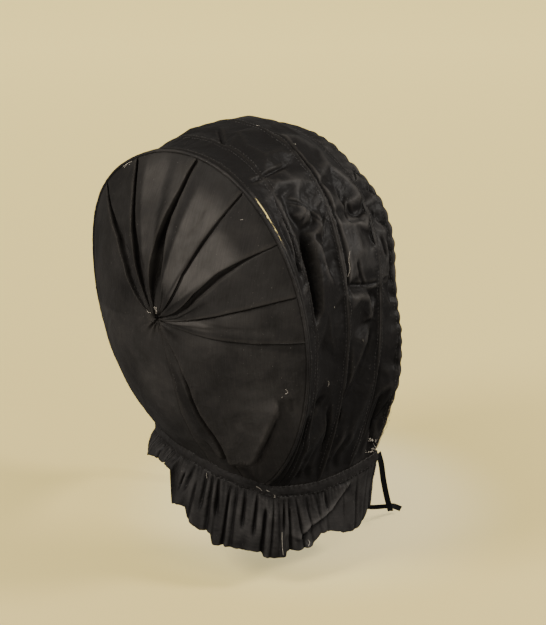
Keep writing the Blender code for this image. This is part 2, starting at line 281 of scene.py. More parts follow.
# Several round threads as one piece. Each line is its points in mm above the neck edge.
def threadsFrom(name, lines, radius, slotName, sides=5):
    points, faces = [], []
    for line in lines:
        line = np.asarray(line, float)
        along = np.gradient(line, axis=0)
        along /= np.maximum(np.linalg.norm(along, axis=1, keepdims=True), 1e-9)
        aside = np.cross(along, (0.3, 0.2, 0.93))
        aside /= np.maximum(np.linalg.norm(aside, axis=1, keepdims=True), 1e-9)
        other = np.cross(along, aside)
        first = len(points)
        for p, a, b in zip(line, aside, other):
            for k in range(sides):
                turn = 2 * math.pi * k / sides
                points.append((p + radius * (a * math.cos(turn) + b * math.sin(turn))) * mm
                              - (0, 0, seatHeight))
        for i in range(len(line) - 1):
            for k in range(sides):
                n = (k + 1) % sides
                faces.append([first + i * sides + k, first + i * sides + n,
                              first + (i + 1) * sides + n, first + (i + 1) * sides + k])
        faces.append([first + k for k in range(sides)][::-1])
        faces.append([first + (len(line) - 1) * sides + k for k in range(sides)])
    mesh = bpy.data.meshes.new(name)
    mesh.from_pydata([tuple(p) for p in points], [], faces)
    mesh.shade_smooth()
    piece = bpy.data.objects.new(name, mesh)
    bpy.context.scene.collection.objects.link(piece)
    finishAs(piece, slotName)
    return piece


# Materials
def nodeSet(tree):
    def add(kind, inputs=None, **settings):
        node = tree.nodes.new(kind)
        for name, value in settings.items():
            setattr(node, name, value)
        for name, value in (inputs or {}).items():
            socket = node.inputs[name]
            if isinstance(value, bpy.types.NodeSocket):
                tree.links.new(value, socket)
            else:
                socket.default_value = value
        return node
    return add


# Threads of a plain weave, as a height from 0 to 1, from lengths on the cloth.
def weaveGroup():
    group = bpy.data.node_groups.new("plainWeave", "ShaderNodeTree")
    face = group.interface
    face.new_socket("Vector", in_out="INPUT", socket_type="NodeSocketVector")
    face.new_socket("Threads per metre", in_out="INPUT", socket_type="NodeSocketFloat")
    face.new_socket("Height", in_out="OUTPUT", socket_type="NodeSocketFloat")
    add = nodeSet(group)
    inside = add("NodeGroupInput").outputs
    scaled = add("ShaderNodeVectorMath", {0: inside["Vector"]}, operation="SCALE")
    group.links.new(inside["Threads per metre"], scaled.inputs["Scale"])
    parts = add("ShaderNodeSeparateXYZ", {0: scaled.outputs[0]}).outputs
    bands = []
    for axis in ("X", "Y"):
        turn = add("ShaderNodeMath", {0: parts[axis], 1: 2 * math.pi}, operation="MULTIPLY")
        wave = add("ShaderNodeMath", {0: turn.outputs[0]}, operation="SINE")
        bands.append(wave.outputs[0])
    cross = add("ShaderNodeMath", {0: bands[0], 1: bands[1]}, operation="MULTIPLY")
    height = add("ShaderNodeMath", {0: cross.outputs[0], 1: 0.5, 2: 0.5}, operation="MULTIPLY_ADD")
    out = add("NodeGroupOutput")
    group.links.new(height.outputs[0], out.inputs[0])
    return group


# Age, and painted light and shade: how much a place is faded, from broad patches, fine streaks along the
# threads and the fade attribute, which on the hood and ruffle also carries painted light on crests and
# painted shade in hollows; and the worn edges.
def ageAndShadeGroup():
    group = bpy.data.node_groups.new("ageAndShade", "ShaderNodeTree")
    face = group.interface
    face.new_socket("FadingAndShade", in_out="OUTPUT", socket_type="NodeSocketFloat")
    face.new_socket("Wear", in_out="OUTPUT", socket_type="NodeSocketFloat")
    face.new_socket("Lint", in_out="OUTPUT", socket_type="NodeSocketFloat")
    add = nodeSet(group)
    where = add("ShaderNodeTexCoord").outputs
    broad = add("ShaderNodeTexNoise", {"Vector": where["Object"], "Scale": 14.0, "Detail": 4.0,
                                       "Roughness": 0.6})
    stretched = add("ShaderNodeMapping", {"Vector": where["UV"], "Scale": (60.0, 900.0, 1.0)})
    streaks = add("ShaderNodeTexNoise", {"Vector": stretched.outputs[0], "Scale": 1.0, "Detail": 2.0})
    both = add("ShaderNodeMath", {0: streaks.outputs["Fac"], 1: 0.26, 2: broad.outputs["Fac"]},
               operation="MULTIPLY_ADD")
    mottled = add("ShaderNodeMapRange", {"Value": both.outputs[0], "From Min": 0.46, "From Max": 0.86,
                                         "To Max": 0.3})
    fadedAndLit = add("ShaderNodeAttribute", attribute_name="fade")
    uneven = add("ShaderNodeMath", {0: both.outputs[0], 1: fadedAndLit.outputs["Fac"]}, operation="MULTIPLY")
    fadingAndShade = add("ShaderNodeMath", {0: mottled.outputs[0], 1: uneven.outputs[0]}, operation="ADD",
                 use_clamp=True)
    worn = add("ShaderNodeAttribute", attribute_name="wear")
    ragged = add("ShaderNodeTexNoise", {"Vector": where["Object"], "Scale": 320.0, "Detail": 3.0})
    edges = add("ShaderNodeMath", {0: worn.outputs["Fac"], 1: ragged.outputs["Fac"]}, operation="MULTIPLY")
    specks = add("ShaderNodeTexNoise", {"Vector": where["Object"], "Scale": 700.0, "Detail": 1.0})
    lint = add("ShaderNodeMapRange", {"Value": specks.outputs["Fac"], "From Min": 0.76, "From Max": 0.82})
    out = add("NodeGroupOutput")
    for k, made in enumerate((fadingAndShade, edges, lint)):
        group.links.new(made.outputs[0], out.inputs[k])
    return group


clothLooks = {
    # dark colour and the paler colour that fading and, on the hood and ruffle, painted light on crests mix
    # towards, worn colour, roughness from and to, fine creases in mm, strength of the crushing, and how much
    # it shines
    "silk": dict(dark=(0.0072, 0.0067, 0.0065, 1), fadedAndLit=(0.055, 0.052, 0.05, 1), worn=(0.08, 0.07, 0.055, 1),
                 rough=(0.48, 0.64), creases=1.2, crushed=0.6, shine=0.06),
    "back": dict(dark=(0.0094, 0.0088, 0.0083, 1), fadedAndLit=(0.058, 0.054, 0.05, 1), worn=(0.08, 0.07, 0.055, 1),
                 rough=(0.56, 0.7), creases=0.6, crushed=0.3, shine=0.03),
    "ribbon": dict(dark=(0.004, 0.0043, 0.0048, 1), fadedAndLit=(0.014, 0.014, 0.0145, 1),
                   worn=(0.05, 0.045, 0.04, 1),
                   rough=(0.52, 0.66), creases=0.25, crushed=0.1, shine=0.07),
}


def clothMaterial(name, weave, ageAndShade):
    look = clothLooks[name]
    made = bpy.data.materials.new(name)
    made.use_nodes = True
    tree = made.node_tree
    shader = tree.nodes["Principled BSDF"]
    add = nodeSet(tree)
    where = add("ShaderNodeTexCoord").outputs
    agedAndShaded = add("ShaderNodeGroup", node_tree=ageAndShade).outputs
    threads = add("ShaderNodeGroup", {"Vector": where["UV"], "Threads per metre": 1600.0},
                  node_tree=weave).outputs
    # the fading, and on the hood and ruffle also painted shade in hollows and painted light on crests, mixes
    # the dark colour towards the paler one
    colour = add("ShaderNodeMix", {"Factor": agedAndShaded["FadingAndShade"], "A": look["dark"], "B": look["fadedAndLit"]},
                 data_type="RGBA")
    colour = add("ShaderNodeMix", {"Factor": agedAndShaded["Wear"], "A": colour.outputs["Result"], "B": look["worn"]},
                 data_type="RGBA")
    colour = add("ShaderNodeMix", {"Factor": agedAndShaded["Lint"], "A": colour.outputs["Result"],
                                   "B": (0.09, 0.085, 0.075, 1)}, data_type="RGBA")
    tree.links.new(colour.outputs["Result"], shader.inputs["Base Color"])
    rough = add("ShaderNodeMapRange", {"Value": agedAndShaded["FadingAndShade"], "To Min": look["rough"][0],
                                       "To Max": look["rough"][1]})
    tree.links.new(rough.outputs[0], shader.inputs["Roughness"])
    fine = add("ShaderNodeTexNoise", {"Vector": where["Object"], "Scale": 130.0, "Detail": 5.0,
                                      "Roughness": 0.55,
                                      "Distortion": 0.6})
    sharp = add("ShaderNodeTexVoronoi", {"Vector": where["Object"], "Scale": 75.0},
                feature="DISTANCE_TO_EDGE")
    edge = add("ShaderNodeMapRange", {"Value": sharp.outputs["Distance"], "From Max": 0.12})
    joined = add("ShaderNodeMath", {0: edge.outputs[0], 1: 0.16, 2: fine.outputs["Fac"]},
                 operation="MULTIPLY_ADD")
    bent = add("ShaderNodeTexNoise", {"Vector": where["Object"], "Scale": 30.0, "Detail": 2.0,
                                      "Distortion": 1.5})
    crushed = add("ShaderNodeTexVoronoi", {"Vector": where["Object"], "Scale": 52.0}, feature="F1")
    tree.links.new(add("ShaderNodeVectorMath",
                       {0: bent.outputs["Color"], 1: (0.02, 0.02, 0.02), 2: where["Object"]},
                       operation="MULTIPLY_ADD").outputs[0], crushed.inputs["Vector"])
    plain = add("ShaderNodeBump", {"Strength": look["crushed"], "Distance": 2.2 * mm,
                                   "Height": crushed.outputs["Distance"]})
    creased = add("ShaderNodeBump", {"Strength": 0.5, "Distance": look["creases"] * mm,
                                     "Height": joined.outputs[0],
                                     "Normal": plain.outputs[0]})
    woven = add("ShaderNodeBump", {"Strength": 0.2, "Distance": 0.05 * mm, "Height": threads["Height"],
                                   "Normal": creased.outputs[0]})
    tree.links.new(woven.outputs[0], shader.inputs["Normal"])
    shader.inputs["Specular IOR Level"].default_value = look["shine"]
    shader.inputs["Specular Tint"].default_value = (0.94, 0.95, 0.97, 1)
    return made


def threadMaterial(name, colour, roughness):
    made = bpy.data.materials.new(name)
    made.use_nodes = True
    tree = made.node_tree
    shader = tree.nodes["Principled BSDF"]
    add = nodeSet(tree)
    where = add("ShaderNodeTexCoord").outputs
    uneven = add("ShaderNodeTexNoise", {"Vector": where["Object"], "Scale": 260.0, "Detail": 3.0})
    dark = tuple(0.6 * c for c in colour[:3]) + (1,)
    mixed = add("ShaderNodeMix", {"Factor": uneven.outputs["Fac"], "A": dark, "B": colour}, data_type="RGBA")
    tree.links.new(mixed.outputs["Result"], shader.inputs["Base Color"])
    bump = add("ShaderNodeBump", {"Strength": 0.4, "Distance": 0.1 * mm, "Height": uneven.outputs["Fac"]})
    tree.links.new(bump.outputs[0], shader.inputs["Normal"])
    shader.inputs["Roughness"].default_value = roughness
    return made


# Split cane: pale, with dark fibres along it.
def caneMaterial():
    made = bpy.data.materials.new("cane")
    made.use_nodes = True
    tree = made.node_tree
    shader = tree.nodes["Principled BSDF"]
    add = nodeSet(tree)
    where = add("ShaderNodeTexCoord").outputs
    grain = add("ShaderNodeTexNoise", {"Vector": where["Object"], "Scale": 900.0, "Detail": 4.0})
    patches = add("ShaderNodeTexNoise", {"Vector": where["Object"], "Scale": 40.0, "Detail": 3.0})
    both = add("ShaderNodeMath", {0: grain.outputs["Fac"], 1: patches.outputs["Fac"]}, operation="MULTIPLY")
    share = add("ShaderNodeMapRange", {"Value": both.outputs[0], "From Min": 0.12, "From Max": 0.42})
    colour = add("ShaderNodeMix", {"Factor": share.outputs[0], "A": (0.32, 0.2, 0.09, 1),
                                   "B": (0.72, 0.56, 0.34, 1)},
                 data_type="RGBA")
    tree.links.new(colour.outputs["Result"], shader.inputs["Base Color"])
    bump = add("ShaderNodeBump", {"Strength": 0.5, "Distance": 0.1 * mm, "Height": grain.outputs["Fac"]})
    tree.links.new(bump.outputs[0], shader.inputs["Normal"])
    shader.inputs["Roughness"].default_value = 0.5
    return made


weave, ageAndShade = weaveGroup(), ageAndShadeGroup()
materials = {name: clothMaterial(name, weave, ageAndShade) for name in clothLooks}
materials["thread"] = threadMaterial("thread", (0.55, 0.5, 0.42, 1), 0.7)
materials["stitch"] = threadMaterial("stitch", (0.035, 0.032, 0.029, 1), 0.7)
materials["net"] = threadMaterial("net", (0.3, 0.24, 0.13, 1), 0.8)
materials["cane"] = caneMaterial()
for number in range(1, 6):
    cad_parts[f"hoop_{number}"].material_slots[0].material = materials["cane"]
print("materials made")

# Camera, light and background
camera = {
    "azimuth": 220.73, "elevation": 21.85, "distance": 2.0, "lens": 115,
    "target": (0.0, 0.0, -0.145), "shift": (0.0600, -0.0361),
}


def direction(azimuth, elevation):
    turn, up = math.radians(azimuth), math.radians(elevation)
    return Vector((math.sin(turn) * math.cos(up), -math.cos(turn) * math.cos(up), math.sin(up)))


def makeCamera():
    data = bpy.data.cameras.new("camera")
    seen = bpy.data.objects.new("camera", data)
    bpy.context.scene.collection.objects.link(seen)
    away = direction(camera["azimuth"], camera["elevation"])
    seen.location = Vector(camera["target"]) + away * camera["distance"]
    seen.rotation_euler = (-away).to_track_quat("-Z", "Y").to_euler()
    data.lens = camera["lens"]
    data.sensor_width = 36
    data.shift_x, data.shift_y = camera["shift"]
    bpy.context.scene.camera = seen


lights = {
    # azimuth, elevation, distance, size, watts, colour
    "key": (262, 40, 1.7, 0.5, 8, (1.0, 0.95, 0.88)),
    "left": (160, 42, 2.0, 0.6, 60, (1.0, 0.95, 0.88)),
    "right": (304, 30, 2.0, 0.4, 55, (1.0, 0.95, 0.88)),
    "low": (202, 2, 2.2, 1.0, 22, (1.0, 0.92, 0.82)),
}


# a wide soft light from the side of the camera, which mostly reaches the floor, and the light from all round
sky = {"azimuth": 225, "elevation": 72, "strength": 0.1, "spread": 80, "around": 0.3}


def makeLights():
    data = bpy.data.lights.new("sky", "SUN")
    data.energy, data.angle, data.color = sky["strength"], math.radians(sky["spread"]), (1.0, 0.97, 0.92)
    lamp = bpy.data.objects.new("sky", data)
    bpy.context.scene.collection.objects.link(lamp)
    lamp.rotation_euler = (-direction(sky["azimuth"], sky["elevation"])).to_track_quat("-Z", "Y").to_euler()
    for name, (azimuth, elevation, distance, size, watts, colour) in lights.items():
        data = bpy.data.lights.new(name, "AREA")
        data.size, data.energy, data.color = size, watts, colour
        lamp = bpy.data.objects.new(name, data)
        bpy.context.scene.collection.objects.link(lamp)
        toward = direction(azimuth, elevation)
        lamp.location = Vector(camera["target"]) + toward * distance
        lamp.rotation_euler = (-toward).to_track_quat("-Z", "Y").to_euler()
    world = bpy.data.worlds.new("studio")
    bpy.context.scene.world = world
    world.use_nodes = True
    world.node_tree.nodes["Background"].inputs["Color"].default_value = (1.0, 0.95, 0.86, 1)
    world.node_tree.nodes["Background"].inputs["Strength"].default_value = sky["around"]


# The paper glows as painted light: pale is a painted pool of light round a point under the front of the hood,
# dim the colour further off, and glow how strongly it shines, dimmer near the camera as painted shade and
# brighter far off.
floor = {"height": -0.43, "half": 6.0, "pale": (0.94, 0.82, 0.46, 1), "dim": (0.71, 0.565, 0.185, 1),
         "lightPoolAt": (-0.01, -0.12, 0.0), "paper": (0.4, 0.32, 0.13, 1),
         "glow": (0.5, 1.78)}   # the paper's own light, near and far


def makeFloor():
    bpy.ops.mesh.primitive_plane_add(size=2 * floor["half"], location=(0, 0, 0))
    ground = bpy.context.active_object
    ground.name = "floor"
    bpy.ops.object.mode_set(mode="EDIT")
    bpy.ops.mesh.select_all(action="SELECT")
    bpy.ops.transform.translate(value=(0, 0, floor["height"]))
    bpy.ops.object.mode_set(mode="OBJECT")
    made = bpy.data.materials.new("paper")
    made.use_nodes = True
    add = nodeSet(made.node_tree)
    where = add("ShaderNodeTexCoord").outputs
    # painted pool of light: the glowing colour is pale round a point under the front of the hood and dim
    # further off
    level = add("ShaderNodeVectorMath", {0: where["Object"], 1: (1.0, 1.0, 0.0)}, operation="MULTIPLY")
    far = add("ShaderNodeVectorMath", {0: level.outputs[0], 1: floor["lightPoolAt"]}, operation="DISTANCE")
    share = add("ShaderNodeMapRange", {"Value": far.outputs["Value"], "From Min": 0.1, "From Max": 0.24},
                interpolation_type="SMOOTHSTEP")
    colour = add("ShaderNodeMix", {"Factor": share.outputs[0], "A": floor["pale"], "B": floor["dim"]},
                 data_type="RGBA")
    # painted light and shade: the paper glows dimmer near the camera and brighter far off
    beyond = add("ShaderNodeVectorMath", {0: where["Object"], 1: (0.65, -0.76, 0.0)}, operation="DOT_PRODUCT")
    glow = add("ShaderNodeMapRange", {"Value": beyond.outputs["Value"], "From Min": -0.3, "From Max": 2.0,
                                      "To Min": floor["glow"][0], "To Max": floor["glow"][1]})
    shader = made.node_tree.nodes["Principled BSDF"]
    shader.inputs["Base Color"].default_value = floor["paper"]
    made.node_tree.links.new(colour.outputs["Result"], shader.inputs["Emission Color"])
    made.node_tree.links.new(glow.outputs[0], shader.inputs["Emission Strength"])
    shader.inputs["Roughness"].default_value = 0.9
    shader.inputs["Specular IOR Level"].default_value = 0.1
    ground.data.materials.append(made)
    # the silk is lit by the room, not by the bright paper
    ground.visible_glossy = ground.visible_diffuse = False


makeCamera()
makeLights()
makeFloor()
print("camera, light and floor made")

# The hood
hood = {
    "columns": 620, "rows": 58, "wall": 0.45,
    "start": 0.7,               # mm from the line of hoop 1 to the seam under the piping
    "caneAhead": 6.5,           # mm from that line to the cane of hoop 1
    "ridge": 0.5, "ribHeight": 0.6, "ribWidth": 1.6, "ribSlope": 0.5, "relief": (1.0, 1.5, 1.5, 1.3),
    "sag": (1.6, 3.0, 3.0, 1.4), "crown": (0.0, 2.0, 6.0, 3.5), "fade": (-0.2, -0.35, -0.2, 0.0),
    "small": (0.3, 1.1, 1.1, 0.9), "long": (0.3, 0.7, 0.9, 0.7), "puff": (0.4, 0.8, 0.9, 0.7),
    "fine": 0.65, "gather": 1.0, "gatherLength": 9.0, "gatherPitch": 11.0,
    "scallop": 2.6, "scallopPitch": 15.0,
    "hem": [(1.6, -0.1), (3.0, -0.5), (3.9, -1.4), (3.8, -2.6), (2.6, -3.2)],
}

# The crushed silk between the hoops: lines along which it is creased, and single high or low places, each
# point as (along, side, height in mm). Between them the silk is flat.
hoodCreases = [
    # from hoop 1 to hoop 2
    [(0.40, -0.02, -1)], [(0.58, 0.10, -1.5)],
    [(0.50, 0.27, -1.5), (0.62, 0.292, -3), (0.58, 0.36, -3), (0.65, 0.436, -3),
                                               (0.5, 0.51, -2)],
    [(0.93, 0.30, -2), (0.88, 0.335, -4.5), (0.84, 0.38, -4.5), (0.80, 0.42, -3.5), (0.78, 0.47, -2.5)],
    [(0.74, 0.34, 0.5), (0.73, 0.40, 1)], [(0.50, 0.60, -1.5)], [(0.55, 0.70, -1)], [(0.3, 0.76, 0.5)],
    # from hoop 2 to hoop 3
    [(0.97, 0.035, -1), (1.12, 0.01, -2.5), (1.58, -0.085, 0.5)], [(1.27, 0.08, 2.5)], [(1.5, 0.02, 3.5)],
    [(1.70, 0.15, 2.5)],
    [(0.43, 0.186, -1), (0.75, 0.196, -1.5), (1.07, 0.201, -1), (1.4, 0.206, 0), (1.75, 0.208, -1.5),
     (1.98, 0.2, 0.5)],
    [(1.35, 0.15, 4)], [(1.62, 0.265, 3.5)], [(1.2, 0.235, 2)],
    [(1.20, 0.27, -2.5), (1.42, 0.31, 0.5), (1.62, 0.354, 0.5), (1.85, 0.365, -1.5)], [(1.42, 0.345, 4)],
    [(1.20, 0.27, -2.5), (1.18, 0.33, -4.5), (1.30, 0.375, -5.5), (1.26, 0.417, -10), (1.20, 0.45, -11.5),
     (1.15, 0.5, -11.5), (1.11, 0.567, -10), (1.12, 0.58, 0)],
    [(1.5, 0.38, -2), (1.42, 0.41, 0.5), (1.36, 0.45, 1.5), (1.31, 0.511, 2), (1.24, 0.572, 1.5)],
    [(1.08, 0.415, -1.5)],
    [(1.64, 0.398, 4)], [(1.66, 0.44, -3), (1.78, 0.4, -2.5), (1.93, 0.378, -1)],
    [(1.5, 0.445, 3), (1.52, 0.512, 2.5),
                                                                           (1.46, 0.585, 0.5)],
    [(1.58, 0.445, -1), (1.62, 0.475, -3), (1.68, 0.515, -3.5), (1.75, 0.55, -1.5)],
    [(1.42, 0.594, 1), (1.68, 0.604, -2), (1.88, 0.59, -0.5)],
    [(1.86, 0.42, -2), (1.87, 0.5, -3.5), (1.88, 0.6, -2.5),
                                                                (1.9, 0.68, -1)],
    [(1.25, 0.665, -3.5)], [(1.40, 0.741, -2)], [(1.50, 0.656, 0)], [(1.68, 0.72, -2.5)],
    [(1.60, 0.765, -1), (1.25, 0.79, -5), (0.8, 0.82, -6), (0.4, 0.86, -5.5), (0.1, 0.92, -2)],
    [(1.45, 0.86, 2), (1.05, 0.885, 1.5)], [(1.3, 0.93, 0)], [(1.72, 0.84, -1)],
    [(1.85, 0.9, -3), (1.8, 0.95, -2)],
    # from hoop 3 to hoop 4
    [(2.27, 0.115, 4)], [(2.5, 0.0, 5)], [(2.5, -0.12, 5)], [(2.75, -0.05, 3.5)],
    [(2.23, 0.215, 0.5), (2.65, 0.179, 3)],
    [(2.5, 0.24, 4.5)], [(2.52, 0.3, -2), (2.52, 0.34, -3.5), (2.48, 0.389, -2)], [(2.8, 0.3, 4)],
    [(2.55, 0.372, -1.5), (2.7, 0.394, -4.5), (2.95, 0.385, -3), (3.15, 0.375, -1.5)], [(2.85, 0.345, 4)],
    [(2.1, 0.42, 2)], [(2.3, 0.36, 2.5)], [(2.5, 0.425, 2.5)], [(2.83, 0.43, 2.5)],
    [(2.97, 0.44, -1.5), (2.95, 0.465, -3), (2.92, 0.49, -1.5)], [(2.45, 0.499, 4)], [(2.72, 0.51, 1)],
    [(2.5, 0.552, 0)],
    [(2.08, 0.565, -1), (2.23, 0.578, -4.5), (2.6, 0.597, -1.5), (2.8, 0.631, -5), (2.95, 0.62, -2.5)],
    [(2.27, 0.61, 3)], [(2.62, 0.625, 2)], [(2.47, 0.65, -1.5), (2.45, 0.69, -3)], [(2.70, 0.67, 2)],
    [(2.17, 0.705, 0)],
    [(2.55, 0.73, 2)], [(2.25, 0.77, 2)], [(2.9, 0.64, -2), (2.86, 0.70, -4), (2.67, 0.77, -5.5),
                                           (2.45, 0.806, -5.5),
                                      (2.23, 0.841, -5), (2.08, 0.891, -4), (2.02, 0.95, -2)],
    [(2.77, 0.85, 1.5)], [(2.5, 0.9, 1.5)],
    # from hoop 4 to hoop 5
    [(3.3, 0.12, 2)], [(3.55, 0.03, 2.5)], [(3.55, 0.215, -0.5), (3.85, 0.245, -2.5)], [(3.45, 0.28, 2.5)],
    [(3.7, 0.35, 2.5)], [(3.5, 0.315, -1), (3.9, 0.32, -3)],
    [(3.42, 0.4, -2), (3.67, 0.421, -3), (3.9, 0.44, -2)],
    [(3.6, 0.458, 2)], [(3.85, 0.47, -1), (3.78, 0.51, -2.5), (3.86, 0.565, -3), (3.97, 0.585, -1.5)],
    [(3.5, 0.53, 2.5)],
    [(3.45, 0.654, 2)], [(3.72, 0.66, -1)], [(3.58, 0.748, 1)],
    [(3.2, 0.78, -2), (3.1, 0.83, -3), (3.1, 0.88, -2)],
    [(3.85, 0.791, -2.5)], [(3.7, 0.831, 2.5)], [(3.3, 0.84, 0.5), (3.48, 0.858, -3), (3.75, 0.87, -1)],
    [(3.88, 0.885, -3), (3.67, 0.915, -5), (3.48, 0.949, -3.5)], [(3.85, 0.94, 1)],
]
# Narrow dark creases on top of that, by (along, side).
hoodFolds = [
    Fold("valley", 1.1, 2.6, 0.2, [(0.43, 0.186), (0.75, 0.196), (1.07, 0.201), (1.4, 0.206), (1.75, 0.208)]),
    Fold("valley", 1.1, 2.6, 0.2, [(0.97, 0.035), (1.12, 0.01), (1.58, -0.085)]),
    Fold("valley", 1.0, 2.0, 0.2, [(1.66, 0.44), (1.78, 0.4), (1.93, 0.378)]),
    Fold("valley", 0.9, 2.0, 0.2, [(2.52, 0.3), (2.52, 0.34), (2.48, 0.389)]),
    Fold("valley", 0.9, 1.8, 0.2, [(2.97, 0.44), (2.95, 0.465), (2.92, 0.49)]),
    Fold("valley", 1.0, 1.6, 0.2, [(2.86, 0.7), (2.67, 0.77), (2.45, 0.806)]),
    Fold("valley", 1.0, 2.0, 0.2, [(3.88, 0.885), (3.67, 0.915), (3.48, 0.949)]),
    Fold("valley", 2.0, 3.2, 0.25, [(1.45, 0.775), (1.25, 0.79), (0.8, 0.82), (0.4, 0.86), (0.12, 0.93)]),
    Fold("valley", 1.3, 2.4, 0.25, [(2.23, 0.841), (2.08, 0.891), (2.03, 0.97)]),
    Fold("valley", 1.3, 4.5, 0.1, [(2.08, 0.05), (2.08, 0.2), (2.08, 0.35), (2.08, 0.5), (2.08, 0.62)]),
    Fold("valley", 1.5, 4.0, 0.25, [(0.95, 0.335), (0.82, 0.38), (0.78, 0.43), (0.73, 0.47)]),
    Fold("valley", 0.9, 2.6, 0.2, [(1.22, 0.286), (1.52, 0.338), (1.73, 0.411)]),
    Fold("valley", 0.9, 2.2, 0.2, [(1.52, 0.338), (1.3, 0.365)]),
    Fold("valley", 0.9, 2.4, 0.2, [(2.67, 0.323), (2.5, 0.369), (2.38, 0.414), (2.6, 0.42), (2.85, 0.414)]),
    Fold("valley", 1.0, 2.4, 0.2, [(2.58, 0.36), (2.73, 0.403), (2.95, 0.392)]),
    Fold("valley", 1.0, 2.2, 0.2, [(3.6, 0.24), (3.35, 0.27), (3.15, 0.294)]),
    Fold("valley", 1.0, 2.2, 0.2, [(3.42, 0.387), (3.48, 0.425), (3.95, 0.435)]),
    Fold("valley", 1.2, 2.2, 0.25, [(2.3, 0.509), (2.45, 0.559), (2.62, 0.604)]),
    Fold("valley", 1.1, 2.8, 0.2, [(2.08, 0.575), (2.45, 0.585), (2.77, 0.593), (2.93, 0.592)]),
    Fold("valley", 1.1, 2.6, 0.2, [(3.08, 0.59), (3.6, 0.585), (3.92, 0.56)]),
    Fold("valley", 1.4, 2.2, 0.25, [(3.3, 0.466), (3.38, 0.5), (3.45, 0.542)]),
    Fold("valley", 1.5, 2.8, 0.25, [(1.65, 0.8), (1.73, 0.869), (1.93, 0.93)]),
    Fold("valley", 1.3, 2.4, 0.25, [(3.1, 0.86), (3.15, 0.9), (3.17, 0.96)]),
    Fold("valley", 1.3, 2.4, 0.25, [(3.45, 0.843), (3.58, 0.907), (3.67, 0.97)]),
    Fold("valley", 1.5, 2.6, 0.25, [(2.08, 0.7), (2.09, 0.781), (2.15, 0.885)]),
]
# Where the silk is blacker or paler: along from and to, side from and to, and how much. The first row, over
# the deep fold between hoops 2 and 3, and the second, over the top of the hood between hoops 1 and 3, are
# painted shade.
hoodFadeAndShade = [(0.95, 1.4, 0.39, 0.6, -0.5), (0.1, 1.95, -0.12, 0.2, -0.35), (3.0, 4.0, 0.6, 0.95, -0.25),
             (0.2, 2.0, 0.78, 1.0, -0.2), (2.1, 2.9, 0.4, 0.56, 0.3), (1.45, 1.95, 0.22, 0.36, 0.2)]
slit = {"from": 0.225, "to": 0.385, "half": 1.1}   # the worn slit over the cane of hoop 1, by side


def hoodFold(fold, mirrored):
    path = np.array(fold.path)
    if mirrored:
        path = path * (1, -1) + (0.07, 0.012)
        fold = fold._replace(depth=0.8 * fold.depth)
    return fold, hoodPoint(path[:, 0], path[:, 1])


# How much the silk between two hoops bellies out, or in, before it is creased.
def belly(along, side):
    gore = np.clip(np.floor(along).astype(int), 0, 3)
    t = np.clip(along - gore, 0, 1)
    crown = np.array(hood["crown"])[gore] * np.exp(-((side + 0.05) / 0.28) ** 2)
    return 4 * t * (1 - t) * (crown - np.array(hood["sag"])[gore])


# The creased silk as flat triangles: their corners on a plan of the hood in mm, and each corner's height.
def creaseTriangles():
    rng = np.random.default_rng(7)
    plan, heights, edges = [], [], []

    def add(along, side, height):
        plan.append((side * 380.0, along * 50.0))
        heights.append(height)
        return len(plan) - 1

    def addRun(run):
        found = [add(*point) for point in run]
        edges.extend(zip(found, found[1:]))

    for run in hoodCreases:
        addRun(run)
        if min(side for _, side, _ in run) > 0.12:
            addRun([(along + 0.04, -side - 0.012, 0.85 * height) for along, side, height in run])
    for hoop in range(5):
        across = np.linspace(-1, 1, 41) + rng.uniform(-0.008, 0.008, 41)
        rise = (hood["ridge"] * rng.uniform(0.5, 1.2, 41) * (0 if hoop == 0 else 1)
                * smooth((1 - np.abs(across)) / 0.08))
        addRun(list(zip([hoop] * 41, np.clip(across, -1, 1), rise)))
    for gore in range(4):
        for k in range(4):
            for side in np.arange(-0.98, 1.0, 0.07):
                along = gore + (k + 0.5) / 4 + rng.uniform(-0.08, 0.08)
                side = side + rng.uniform(-0.02, 0.02)
                far = np.linalg.norm(np.array(plan) - (side * 380, along * 50), axis=1).min()
                if far > 15 and abs(side) < 0.99:
                    calm = 0.5 if abs(side) > 0.65 else 1.0
                    add(along, side, float(belly(np.array(along), side)) + calm * rng.uniform(-2.2, 2.2))
    made = mathutils.geometry.delaunay_2d_cdt([Vector(p) for p in plan], edges, [], 0, 1e-3)
    corners, faces, origins = made[0], made[2], made[3]
    level = []
    for corner, origin in zip(corners, origins):
        if origin:
            level.append(heights[origin[0]])
        else:
            far = np.linalg.norm(np.array(plan) - tuple(corner), axis=1)
            close = np.argsort(far)[:3]
            level.append(float(np.average(np.array(heights)[close], weights=1 / (far[close] + 1))))
    return np.array([tuple(c) for c in corners]), np.array(level), faces


def creaseHeight(along, side, triangles):
    corners, level, faces = triangles
    x, y = side * 380.0, along * 50.0
    height = np.zeros(x.shape)
    for face in faces:
        a, b, c = corners[list(face)[:3]]
        low, high = np.minimum(np.minimum(a, b), c), np.maximum(np.maximum(a, b), c)
        if high[1] < y.min() or low[1] > y.max():
            continue
        near = (x >= low[0] - 0.01) & (x <= high[0] + 0.01) & (y >= low[1] - 0.01) & (y <= high[1] + 0.01)
        if not near.any():
            continue
        det = (b[1] - c[1]) * (a[0] - c[0]) + (c[0] - b[0]) * (a[1] - c[1])
        if abs(det) < 1e-9:
            continue
        px, py = x[near], y[near]
        s = ((b[1] - c[1]) * (px - c[0]) + (c[0] - b[0]) * (py - c[1])) / det
        t = ((c[1] - a[1]) * (px - c[0]) + (a[0] - c[0]) * (py - c[1])) / det
        inside = (s > -1e-4) & (t > -1e-4) & (s + t < 1 + 1e-4)
        found = height[near]
        found[inside] = (s * level[face[0]] + t * level[face[1]] + (1 - s - t) * level[face[2]])[inside]
        height[near] = found
    return height


